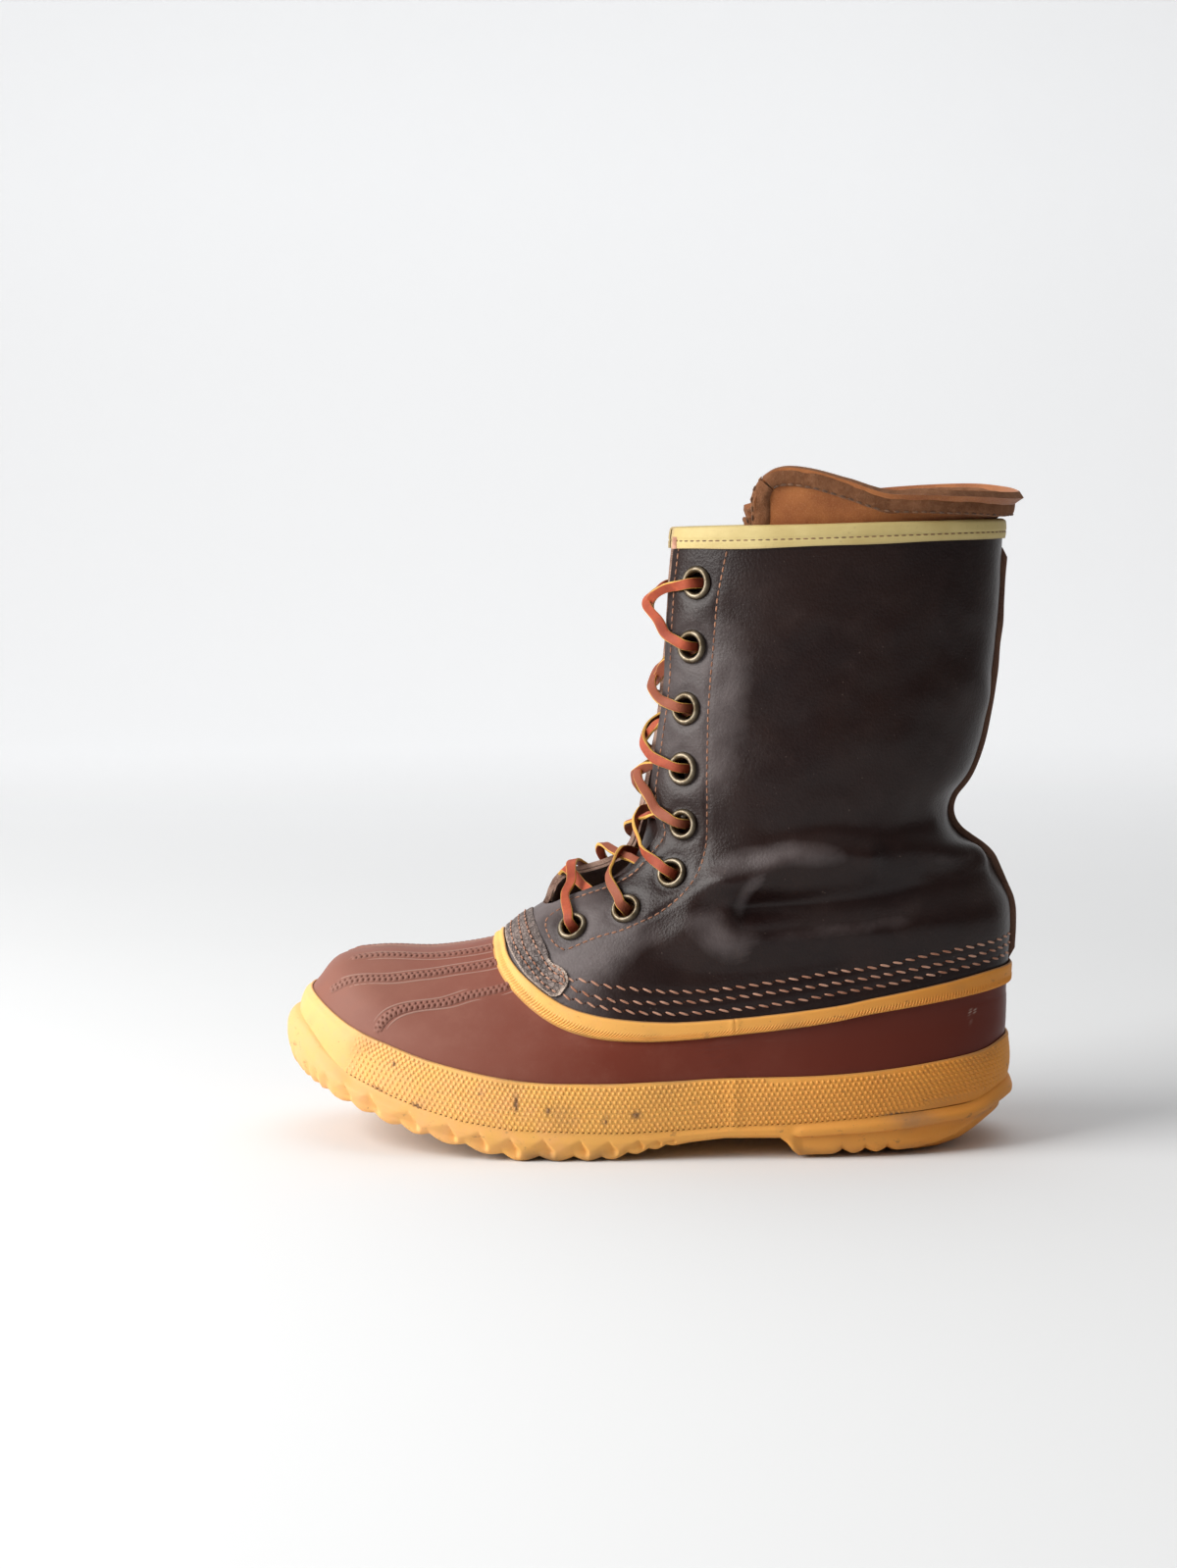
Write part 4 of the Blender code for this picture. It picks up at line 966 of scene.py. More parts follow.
# Troughs and ridges of the worn shaft: line, heights at its ends, reaches at its ends, in mm
CREASES = (
    (((0.528, 9.74), (0.482, 9.74), (0.428, 9.72), (0.362, 9.78), (0.282, 9.77), (0.168, 9.71), (0.06, 9.72)),
     (-6.6, -4.8), (4.4, 7.6)),
    (((0.612, 10.34), (0.566, 10.16), (0.548, 9.77), (0.520, 9.26), (0.490, 9.05)), (1.1, 1.5), (3.2, 3.6)),
    (((0.630, 10.28), (0.570, 10.50), (0.536, 10.81), (0.494, 11.05), (0.448, 11.11), (0.38, 10.95)),
     (2.3, 3.4), (4.4, 5.0)),
    (((0.575, 11.50), (0.520, 11.62), (0.458, 11.66), (0.370, 11.62), (0.274, 11.57)),
     (-0.9, -2.0), (5.0, 6.5)),
    (((0.230, 11.70), (0.162, 11.73), (0.060, 11.60)), (-1.4, -2.4), (6.0, 7.0)),
    (((0.300, 11.02), (0.252, 10.98), (0.160, 10.66), (0.080, 10.37)), (1.0, 2.0), (4.0, 4.4)),
    (((0.600, 9.05), (0.540, 8.80), (0.486, 8.80), (0.410, 8.93), (0.348, 8.80), (0.276, 8.69), (0.150, 8.54)),
     (1.2, 2.2), (6.0, 7.5)),
    (((0.640, 12.4), (0.560, 12.9), (0.470, 13.1), (0.360, 13.2)), (0.5, 1.2), (6.0, 9.0)),
    (((0.330, 13.6), (0.200, 13.75), (0.090, 13.6)), (0.9, 0.9), (7.0, 7.0)),
    (((0.585, 9.70), (0.630, 9.30), (0.664, 8.90)), (-0.8, -0.6), (3.5, 4.0)),
    (((0.600, 8.35), (0.500, 8.18), (0.380, 8.22)), (-0.9, -0.9), (4.0, 5.0)),
    (((0.440, 9.30), (0.380, 9.36), (0.320, 9.28)), (-0.9, -0.7), (2.6, 2.8)),
    (((0.270, 10.30), (0.200, 10.22), (0.140, 10.28)), (-0.8, -0.8), (2.6, 2.6)),
    (((0.648, 9.87), (0.600, 9.30), (0.540, 8.95), (0.494, 8.73)), (1.0, 1.0), (4.0, 4.0)),
)
# Painted highlights: a grey sheen laid along the folds' ridges: line, strength, reach in mm
FOLD_SHEEN = (
    (((0.648, 9.87), (0.642, 10.39), (0.614, 10.81), (0.566, 11.04), (0.500, 11.12), (0.444, 11.03),
      (0.378, 10.76)),
     0.42, 4.2),
    (((0.532, 10.63), (0.550, 10.32), (0.550, 9.97), (0.534, 9.66), (0.502, 9.28)), 0.40, 2.0),
    (((0.520, 8.90), (0.474, 8.94), (0.410, 8.98), (0.320, 8.93), (0.244, 8.88)), 0.24, 3.0),
    (((0.655, 9.90), (0.622, 9.66), (0.568, 9.22), (0.514, 8.84), (0.470, 8.60)), 0.40, 6.0),
    (((0.270, 10.80), (0.218, 10.44), (0.142, 10.38), (0.068, 10.25)), 0.20, 2.6),
)


def along_line(rows, turn):
    """The level of a line round the boot at each turn, the same on both sides."""
    fine = smooth_curve(rows, 40 * len(rows))
    order = np.argsort(fine[:, 0])
    return np.interp(np.abs(np.asarray(turn)), fine[order, 0], fine[order, 1])


EDGE_FINE = smooth_curve(THROAT_EDGE, 600)


def edge_turn(v, side=1):
    """The turn of the worn throat's edge, 1 where the leather is closed in front."""
    v = np.asarray(v, float)
    seen = np.interp(v, EDGE_FINE[:, 1], EDGE_FINE[:, 0])
    if side < 0:
        seen = seen + 0.0045 * np.sin(1.7 * v + 0.6) * ease(v, 8.4, 9.5)
        seen = seen + 0.045 * hump(v - 11.05, 0.5)
        seen = seen + 0.022 * ease(v, 9.0, 9.6) * (1 - ease(v, 11.4, 12.2))
    low = EDGE_FINE[0, 1]
    rounded = 1 - (1 - EDGE_FINE[0, 0]) * np.sqrt(share_of((v - THROAT_BOTTOM) / (low - THROAT_BOTTOM)))
    return np.where(v < low, rounded, seen)


def rows_between(low, high, pitch, extra=()):
    """Levels from low to high, spaced by pitch up the side, with the extra ones worked in."""
    fine = np.linspace(low, high, 800)
    run = np.maximum(lengths_along(skin_point(0.5, fine)), lengths_along(skin_point(0.02, fine)))
    even = np.interp(np.linspace(0, run[-1], int(run[-1] / pitch) + 1), run, fine)
    extra = np.asarray([v for v in extra if low < v < high])
    if len(extra):
        keep = np.abs(even[:, None] - extra[None]).min(axis=1) > 0.35 * (even[1] - even[0])
        keep[[0, -1]] = True
        even = np.sort(np.concatenate([even[keep], extra]))
    return even


def surface_line(rows, side=1):
    """A line of surface points through (turn, level) rows, about 1.2 mm apart."""
    rows = even_row(rows, 1.2 * MM)
    return skin_point(side * rows[:, 0], rows[:, 1])


def line_hump(points, line, side, reach, spread=1):
    """1 on a line of the surface, falling away smoothly over the reach."""
    return hump(near(points, surface_line(line, side))[0], reach, spread)


def leather_relief(turn, v):
    """How far the worn leather stands off the plain surface at each turn and level."""
    points = skin_point(turn, v)
    total = np.zeros(turn.shape)
    for side, strength, shift in ((1, 1.0, 0.0), (-1, 0.92, 0.16)):
        for number, (rows, heights, reaches) in enumerate(CREASES):
            rows = [(t, level + shift * np.sin(number * 2.1)) for t, level in rows]
            distance, share = near(points, surface_line(rows, side))
            height = heights[0] + (heights[1] - heights[0]) * ease(share, 0, 0.6)
            reach = reaches[0] + (reaches[1] - reaches[0]) * ease(share, 0, 1)
            total += strength * height * MM * hump(distance, reach * MM, 2)
    total *= boot().crease_depth
    for swell, size, seed, calm_to in ((0.45, 15, 0.4, 9.2), (0.18, 5.5, 2.0, 9.0)):
        total += swell * MM * wobble(points, size * MM, seed) * ease(v, 7.9, calm_to)
    drawn_in = [(FACING_STITCH, 0.36, 0.9), (FACING_CORNER, 0.36, 0.9), (inner_edge_line(), 0.28, 0.8)]
    drawn_in += [(line, 0.30, 1.0) for line in STRIP_STITCHES]
    for side in (1, -1):
        for line, depth, reach in drawn_in:
            total -= depth * MM * line_hump(points, line, side, reach * MM, 2)
        for place in EYELETS:
            distance = np.linalg.norm(points - skin_point(side * place[0], place[1]), axis=-1)
            total -= 0.5 * MM * hump(distance - EYELET_DENT, 1.6 * MM)
    return total * (1 - ease(v, 14.2, 14.85))


def inner_edge_line():
    """The stitch line that runs just behind the throat's edge."""
    rows = []
    for turn, v in EDGE_FINE[20::25]:
        ring = ring_at(np.array(v))
        half = ring["half"] * np.sin((1 - turn) * pi) ** (2 / ring["square_front"])
        rows.append((float(turn_at_half_width(half + 3.1 * MM, v)), v))
    return rows


# ---------------------------------------------------------------- the leather upper

FLAP_CURL = np.array((  # level, how far the inner side's edge curls up, in mm
    (8.05, 0.0), (8.14, 1.4), (8.25, 4.2), (8.40, 6.8), (8.60, 8.4), (8.85, 8.4), (9.15, 6.8), (9.50, 5.0),
    (10.0, 3.8), (10.6, 3.2), (11.2, 3.0), (12.0, 1.6), (13.0, 0.8), (14.0, 0.2), (15.0, 0.0),
))


def flap_lift(turn, v):
    """How the throat's edges curl off the foot, most at the inner flap's lower end."""
    edge = np.where(turn > 0, edge_turn(v, 1), edge_turn(v, -1))
    reach = 0.075 + 0.055 * (1 - ease(v, 9.2, 10.2)) * (turn < 0)
    close = ease(np.abs(turn), edge - reach, edge + 0.2 * reach)
    outer = 0.5 * hump(v - 12.6, 1.4) + 0.7 * hump(v - 9.3, 0.7) - 0.9 * hump(v - 11.1, 0.35)
    inner = np.interp(v, FLAP_CURL[:, 0], FLAP_CURL[:, 1]) * 1.12
    return MM * close * np.where(turn > 0, outer, inner)


def leather_place(turn, v, out=0.0):
    """Points on the worn leather, out proud of it."""
    turn, v = np.broadcast_arrays(np.asarray(turn, float), np.asarray(v, float))
    stand = leather_relief(turn, v) + flap_lift(turn, v)
    return skin(turn, v, stand + out)


def grid_of(rows, columns_at):
    """Turns and levels of a sheet, one row for each level."""
    turn = np.array([columns_at(v) for v in rows])
    return turn, np.repeat(np.asarray(rows)[:, None], turn.shape[1], axis=1)


def shaft_wear_and_sheen(turn, v, table):
    """Grey wear by the rubber, and painted sheen: grey highlights on the facings and along the folds' ridges.
    """
    plain = skin_point(turn, v)
    by_rubber = share_of(1 - (v - 6.9) / 1.35) * share_of(0.55 + 0.45 * wobble(table, 16 * MM))
    # Painted sheen on the low front of both facings and up the outer facing.
    low_facing_sheen = ease(np.abs(turn), 0.56, 0.72) * (1 - ease(v, 8.6, 9.6))
    low_facing_sheen = low_facing_sheen * share_of(0.85 + 0.3 * wobble(table, 12 * MM, 3.0))
    facing = ease(turn, 0.60, 0.70) * ease(v, 8.8, 9.8) * (1 - ease(v, 13.8, 14.8))
    worn = 0.22 * by_rubber + 0.55 * low_facing_sheen + (0.10 + 0.26 * ease(v, 11.5, 13.0)) * facing
    mottled = 0.94 + 0.10 * wobble(plain, 6 * MM, 2.0)
    # Painted highlights laid along the folds' ridges, on both sides.
    for side in (1, -1):
        for line, strength, reach in FOLD_SHEEN:
            distance, along = near(plain, surface_line(line, side))
            ends = ease(along, 0.0, 0.30) * (1 - ease(along, 0.70, 1.0))
            worn += strength * mottled * ends * hump(distance, reach * MM, 2)
    return np.clip(worn, 0, 0.85)


def leather_finishes():
    return [waxed_leather(), flesh_side(), cut_edge()]


def make_leather_shaft():
    throat = THROAT_BOTTOM + 0.45 * (1 - np.cos(np.linspace(0, 1, 9) * pi / 2))[:6]
    rows = rows_between(STRIP_SEAM + 0.06, TOP - 0.004, 1.45 * MM, throat)
    share = np.linspace(1, -1, 321)
    turn, v = grid_of(rows, lambda level: share * np.where(
        share > 0, edge_turn(level, 1), edge_turn(level, -1)))
    table = leather_place(turn, v)
    # Its wear share is grey wear by the rubber, and painted sheen on the facings and along the folds.
    obj = lay("leather_upper", table, leather_finishes(), wear=shaft_wear_and_sheen(turn, v, table))
    centres = np.array([polygon.center for polygon in obj.data.polygons])
    holes = np.zeros(len(centres), bool)
    for side in (1, -1):
        for place in EYELETS:
            holes |= np.linalg.norm(centres - skin(side * place[0], place[1]), axis=-1) < EYELET_HOLE
    delete_faces(obj, holes)
    complete(obj, "oiled_leather", "leather_shaft", merged=SEAM, wall=LEATHER_WALL, inner=1, rim=2)
    make_inner_facing()


def make_inner_facing():
    """The facing's second layer, whose cut edge shows below the inner flap's."""
    share = np.linspace(0, 1, 16)
    rows = rows_between(8.15, 11.7, 1.3 * MM)
    turn, v = grid_of(rows, lambda level: 0.060 - edge_turn(level, -1) - 0.063 * share)
    ragged = 0.25 * MM * wobble(skin_point(turn, v), 2.5 * MM, 6.0)
    table = leather_place(turn, v, ragged * share - LEATHER_WALL - 0.35 * MM)
    obj = lay("inner_facing", table, [cut_edge(), flesh_side(), cut_edge()])
    complete(obj, "oiled_leather", wall=FACING_WALL, inner=1, rim=2, outwards=True)


def make_vamp_patch():
    start = PATCH_END + 0.034 * (1 - np.cos(np.linspace(0, pi / 2, 15)[:-1]))
    half = np.concatenate([start, np.linspace(PATCH_END + 0.034, 1.0, 150)])
    rounded = np.interp(half, (0.704, 0.707, 0.714, 0.730), (7.10, 7.02, 6.95, 6.90))
    fray = 0.008 * np.sin(half * 901.0) + 0.008 * np.sin(half * 1637.0 + 1.0)
    low = np.maximum(along_line(STRIP_TOP, half) + 0.035, rounded) + fray
    top = np.interp(half, *np.array(PATCH_TOP).T) + 0.6 * fray * (half < 0.80)
    turns, top, low = (np.concatenate([part, mirrored[-2::-1]])[::-1] for part, mirrored in (
        (half, 2 - half), (top, top), (low, low)))
    share = PATCH_SHARES[:, None]
    v = low + (top - low) * share
    turn = np.broadcast_to(turns, v.shape)
    folded = np.minimum(turn, 2 - turn)
    points = skin_point(turn, v)
    edge = share_of(np.minimum(share / 0.06, (1 - share) / 0.08))
    tab = 1 - ease(folded, PATCH_END + 0.002, 0.720)
    out = 1.35 * MM + 0.20 * MM * wobble(points, 7 * MM, 1.0) - 0.3 * MM * (1 - np.sqrt(edge)) - 0.25 * MM * tab
    out -= 0.7 * MM * ease(share, 0.6, 1.0) * ease(folded, 0.80, 0.90)
    for line in STRIP_STITCHES:
        for side in (1, -1):
            out = out - 0.25 * MM * line_hump(points, line, side, 0.8 * MM, 2)
    top_rub = 0.9 * (1 - ease(1 - share, 0.02, 0.14)) * (1 - ease(folded, 0.785, 0.80))
    worn = np.maximum(1 - ease(share, 0.0, 0.10), np.maximum(tab, top_rub))
    finishes = [cracked_leather(), flesh_side(), cut_edge()]
    obj = lay("vamp_top_patch", skin(turn, v, out), finishes, wear=share_of(worn))
    complete(obj, "grey_leather", "vamp_patch", wall=PATCH_WALL, inner=1, rim=2)


def make_back_seam():
    rows = rows_between(7.12, 14.74, 1.3 * MM)
    angle = np.linspace(0, 2 * pi, 21)
    across, height = blunt(np.cos(angle), 0.45), blunt(np.sin(angle), 0.45)
    slit = hump(across, 0.16) * (height > 0)
    relief = leather_relief(np.zeros((len(rows), 1)), rows[:, None])[:, 0]
    centre = skin(0.0, rows, relief)
    normal = skin_normal(np.zeros(len(rows)), rows)
    count = np.arange(len(rows))
    start = np.minimum(count / 5, 1) * np.minimum(count[::-1] / 3, 1)
    wide = SEAM_HALF_WIDE * (0.25 + 0.75 * start)
    tall = (SEAM_TALL + 0.35 * MM * wobble(centre, 9 * MM, 5.0)) * (0.3 + 0.7 * start)
    sideways = across[None] * wide[:, None] + 0.22 * MM * wobble(centre, 6 * MM, 3.0)[:, None]
    outwards = (height[None] * 0.5 + 0.5 - 0.22 * slit[None]) * tall[:, None] - 0.2 * MM
    table = (centre[:, None] + np.array((0.0, 1.0, 0.0)) * sideways[..., None]
             + normal[:, None] * outwards[..., None])
    obj = lay("back_seam_ridge", capped(table[:, ::-1]), [flesh_side()])
    complete(obj, "raw_leather", "back_seam", merged=SEAM, outwards=True, angle=60)


def collar_drop(depth):
    """The level that lies this far below the collar's top edge."""
    fine = np.linspace(13.5, TOP, 400)
    z = skin_point(0.5, fine)[:, 2]
    return np.interp(z[-1] - np.asarray(depth), z, fine)


def binding_share(turn):
    """How wide the binding is at each turn, narrower at the back."""
    return 0.64 + 0.15 * ease(np.abs(turn), 0.2, 0.75)


def make_collar_binding():
    share = np.linspace(1, -1, 241)
    turn = share * np.where(share > 0, edge_turn(TOP, 1) + 0.006, edge_turn(TOP, -1) + 0.006)
    out_side = GAP + BINDING_WALL
    in_side = -LEATHER_WALL - GAP - BINDING_WALL
    middle, half = (out_side + in_side) / 2, (out_side - in_side) / 2
    fold = pi * np.arange(1, 9) / 9
    section = [(BINDING_WIDE * (1 - k / 11), out_side) for k in range(12)]
    section += [(-0.62 * half * np.sin(angle), middle + half * np.cos(angle)) for angle in fold]
    section += [(7.0 * MM * k / 7, in_side) for k in range(8)]
    wavy = wobble(skin_point(turn, TOP - 0.1), 14 * MM, 4.0)
    rows = []
    for drop, out in section:
        depth = np.maximum(drop, 0) + (drop >= 0.99 * BINDING_WIDE) * 0.35 * MM * wavy
        if out > middle:
            depth = depth * binding_share(turn)
            out = out + 0.30 * MM * np.sin(pi * share_of(drop / BINDING_WIDE))
            out = out - 0.34 * MM * hump(drop - BINDING_SEAM, 0.55 * MM)
        row = skin(turn, collar_drop(depth), out + 0.05 * MM * wavy)
        row[:, 2] += max(-drop, 0) + GAP + 0.2 * MM * (0.5 + 0.5 * wavy) * (drop < 3 * MM)
        rows.append(row)
    table = np.array(rows)
    soil = np.zeros(table.shape[:2])
    soil[0] = soil[:, :2] = soil[:, -2:] = 0.8
    obj = lay("collar_fold", table, [cream_binding()], wear=soil)
    complete(obj, "cream_leather", "collar_binding", wall=BINDING_WALL * 0.9)


def make_tongue():
    share = np.linspace(-1, 1, 61)
    turn, v = grid_of(rows_between(TONGUE_HALF[0][0], TOP, 2.0 * MM), lambda level: 1 - share * (
        1 - turn_at_half_width(np.interp(level, *np.array(TONGUE_HALF).T) * MM, level)))
    fold = 0.5 * MM * wobble(skin_point(turn, v), 12 * MM, 6.0) - 0.7 * MM * hump(0.1 - share[::-1], 0.12)
    deep = TONGUE_INSET + 1.1 * MM * ease(v, 8.3, 9.0)
    table = skin(turn, v, -deep + np.minimum(fold, 0.3 * MM))
    obj = lay("tongue_leaf", table, leather_finishes(), wear=0.0)
    complete(obj, "oiled_leather", "tongue", wall=TONGUE_WALL, inner=1, rim=2)


TONGUE_HALF = (  # level, half the tongue's width in mm
    (7.75, 10), (8.05, 15.5), (8.6, 19.5), (9.2, 21.5), (10.0, 23), (11.0, 24), (13.0, 25), (15.0, 25))


# ---------------------------------------------------------------- the liner

LINER_GAP = (  # level, half the width of the liner's opening in mm
    (7.35, 0.0), (7.5, 13.0), (8.0, 20.0), (9.0, 25.5), (10.0, 27.5), (11.0, 29.0), (13.0, 31.5), (15.0, 34.5))
CUFF = (  # turn, height of the top edge, how far it flares out in mm
    (-0.680, 0.2600, 0.5), (-0.600, 0.2645, 1.0), (-0.480, 0.2668, 2.0), (-0.340, 0.2692, 4.0),
    (-0.200, 0.2698, 6.0), (-0.090, 0.2680, 8.0), (0.000, 0.2660, 8.5), (0.130, 0.2654, 7.2),
    (0.235, 0.2660, 5.5), (0.350, 0.2666, 3.2), (0.420, 0.2670, 1.8), (0.457, 0.2690, 1.2),
    (0.500, 0.2728, 0.8), (0.553, 0.2762, 0.4), (0.598, 0.2776, 0.0), (0.625, 0.2768, 0.0),
    (0.640, 0.2752, -0.2), (0.652, 0.2722, -0.3), (0.659, 0.2690, -0.4), (0.669, 0.2640, -0.5),
)


CUFF_FOOT = 0.2535 + 1.0 * MM
HEM_DROP = 3.4 * MM
HEM_CORNER = 0.012


def liner_turn(v):
    rows = np.array(LINER_GAP)
    return turn_at_half_width(np.interp(v, rows[:, 0], rows[:, 1]) * MM, v)


CUFF_FINE = smooth_curve(CUFF, 200)


def cuff_top(turn):
    return np.interp(turn, CUFF_FINE[:, 0], CUFF_FINE[:, 1])


def cuff_place(turn, share, out):
    """Points of the liner's cuff: share 0 at the collar, 1 at its top edge."""
    flare = np.interp(turn, CUFF_FINE[:, 0], CUFF_FINE[:, 2]) * MM
    bow = np.maximum(share, 0) ** 1.35
    place = skin(turn, TOP, -LINER_INSET + (LINER_INSET + flare) * bow + out)
    place[..., 2] = CUFF_FOOT + (cuff_top(turn) - CUFF_FOOT) * share
    return place


def make_liner():
    make_felt_boot()
    make_cuff()
    make_insole()


def make_felt_boot():
    rows = rows_between(0.0, 14.9, 3.0 * MM, (7.35, 7.4, 7.5, 7.7, 8.0))
    share = np.linspace(1, -1, 141)
    turn, v = grid_of(rows, lambda level: share * (1.0 if level <= 7.35 else float(liner_turn(level))))
    dent = np.minimum(leather_relief(turn, v), 0) * ease(v, 7.6, 8.6)
    nap = 0.25 * MM * wobble(skin_point(turn, v), 5 * MM, 8.0)
    table = skin(turn, v, -LINER_INSET - 0.3 * MM + dent + np.minimum(nap, 0.1 * MM))
    stand_on_sole(table, v, INSOLE_THICKNESS + LINER_LIFT)
    obj = lay("felt_liner", table, [felt_hem(), tan_wall()])
    complete(obj, "felt", "liner", merged=SEAM, wall=LINER_WALL - 0.3 * MM, inner=1, angle=60)


def make_cuff():
    edge = float(liner_turn(TOP))
    up = np.concatenate([[-0.35, -0.15], np.linspace(0, 1, 13)])
    turn, lift = np.broadcast_arrays(np.linspace(1, -1, 201)[None] * edge, up[:, None])
    plain = skin_point(turn, TOP)
    nap = 0.25 * MM * wobble(plain, 6 * MM, 9.0) + 0.2 * MM * wobble(plain, 20 * MM, 1.0)
    table = cuff_place(turn, lift, nap)
    table[0] = skin(turn[0], 14.70, -LINER_INSET)
    table[1] = skin(turn[1], 14.87, -LINER_INSET)
    obj = lay("liner_cuff_wall", table, [tan_wall(), tan_wall(), felt_hem()])
    complete(obj, "felt", "liner_cuff", wall=CUFF_WALL, inner=1, rim=2, angle=60)
    make_hem(edge)


def make_hem(edge):
    """One rolled strip: up the inner front edge, round the top and down the outer front edge."""
    rows = [(turn, HEM_DROP) for turn in np.linspace(edge - HEM_CORNER, -edge + HEM_CORNER, 220)]
    ends = [[], []]
    for end, turn in zip(ends, (edge - 0.010, -edge + 0.010)):
        tall = float(cuff_top(turn)) - 0.2535 - HEM_DROP - 0.5 * MM
        end.extend((turn, HEM_DROP + tall * down) for down in np.linspace(1.0, 0.0, 9)[:-1])
    rows = np.array(ends[0] + rows + ends[1][::-1])
    share = 1 - rows[:, 1] / (cuff_top(rows[:, 0]) - CUFF_FOOT)
    fine = smooth_curve(cuff_place(rows[:, 0], share, -CUFF_WALL / 2), 420)
    run = lengths_along(fine)
    even = np.linspace(0, run[-1], 300)
    path = np.stack([np.interp(even, run, fine[:, i]) for i in range(3)], axis=-1)
    turns = np.interp(np.linspace(0, len(rows) - 1, 420), np.arange(len(rows)), rows[:, 0])
    normal = skin_normal(np.interp(even, run, turns), np.full(len(even), 14.9))
    tangent = unit(np.gradient(path, axis=0))
    up = unit(np.cross(normal, tangent)) * -1
    up *= np.where((up[:, 2] < -0.3) & (np.abs(tangent[:, 2]) < 0.7), -1, 1)[:, None]
    angle = np.linspace(0, 2 * pi, 31)
    x = blunt(np.cos(angle), 0.85) * HEM_HALF_WIDE
    y = blunt(np.sin(angle), 0.75) * HEM_HALF_HIGH
    lumps = (1 + 0.07 * wobble(path, 7 * MM, 2.0) + 0.05 * wobble(path, 3 * MM, 7.0))[:, None]
    table = path[:, None] + normal[:, None] * (x * lumps)[..., None]
    table = table + up[:, None] * (y * (2 - lumps))[..., None]
    rough = 0.16 * MM * wobble(table, 2.6 * MM, 5.0)
    table += rough[..., None] * (normal[:, None] * np.sign(x)[None, :, None])
    obj = lay("liner_hem", capped(table), [felt_hem()])
    complete(obj, "felt", merged=SEAM, outwards=True, angle=60)
    sew_hem(path, normal, up)


def sew_hem(path, normal, up):
    """A line of thread along the hem's lower edge, on both faces."""
    run = lengths_along(path)
    index = np.clip(np.searchsorted(run, np.arange(3 * MM, run[-1] - 3 * MM, 3.6 * MM)), 1, len(run) - 2)
    low, out, along = up[index] * HEM_HALF_HIGH * 0.86, normal[index], unit(path[index + 1] - path[index - 1])
    sew("liner_hem_stitches", [
        (path[index] - low + out * side * (HEM_HALF_WIDE * 0.80), along, up[index], out * side)
        for side in (1, -1)])


def make_insole():
    inset = RUBBER_WALL + 2 * GAP
    turn = 0.5 - 0.5 * np.cos(np.linspace(0.02, 0.98, 90) * pi)
    outer, inner = skin(turn, 0.0, -inset), skin(-turn, 0.0, -inset)
    share = np.linspace(0, 1, 24)[:, None, None]
    table = outer[None] + (inner - outer)[None] * share
    table = np.swapaxes(table, 0, 1)[:, ::-1]
    table[..., 2] = sole_top(table[..., 0]) + GAP + INSOLE_THICKNESS + 0.15 * MM * wobble(table, 12 * MM)
    obj = lay("felt_insole", table[:, ::-1], [felt_hem()])
    complete(obj, "felt", "insole", wall=INSOLE_THICKNESS - 0.2 * MM, outwards=True)


# ---------------------------------------------------------------- rubber

def make_rubber_shell():
    turn, v = np.meshgrid(np.linspace(1, -1, 401), rows_between(0.0, STRIP_SEAM, 1.5 * MM))
    points = skin_point(turn, v)
    relief = 0.14 * MM * wobble(points, 17 * MM, 0.0) + 0.05 * MM * wobble(points, 5 * MM, 4.0)
    relief *= ease(v, 2.0, 3.0)
    raised = [(line, tall, 0.95) for line, tall in zip(SIDE_SEAM, (0.55, 0.42))]
    raised += [(line, 0.20, 3.2) for line in VAMP_RIDGES]
    for side in (1, -1):
        for line, tall, reach in raised:
            relief += tall * MM * line_hump(points, line, side, reach * MM)
    scratch = sum(0.6 * line_hump(points, line, 1, 0.35 * MM) for line in HEEL_SCRATCHES)
    table = stand_on_sole(skin(turn, v, relief), v)
    obj = lay("rubber_bottom", table, [bloomed_rubber()], wear=scratch)
    complete(obj, "brown_rubber", "rubber_shell", merged=SEAM, wall=RUBBER_WALL, angle=60)
    for side, word in SIDES:
        for number, line in enumerate(VAMP_RIDGES, start=1):
            rows = even_row(line, 0.36 * MM)
            lay_ridge(f"vamp_ridge_{word}_{number}", rows, side, RIDGE_HALF, 1.0)
            step = skin_point(rows[:, 0] + 0.001, rows[:, 1]) - skin_point(rows[:, 0], rows[:, 1])
            aside = (RIDGE_LINE_OFFSET * 0.001 / np.linalg.norm(step, axis=-1))[::3]
            for way, sign in (("low", -1), ("high", 1)):
                beside = rows[::3].copy()
                beside[:, 0] += sign * aside
                if beside[:, 0].max() < 0.99:
                    lay_ridge(f"vamp_line_{word}_{number}_{way}", beside, side, RIDGE_LINE_HALF, 0.0)


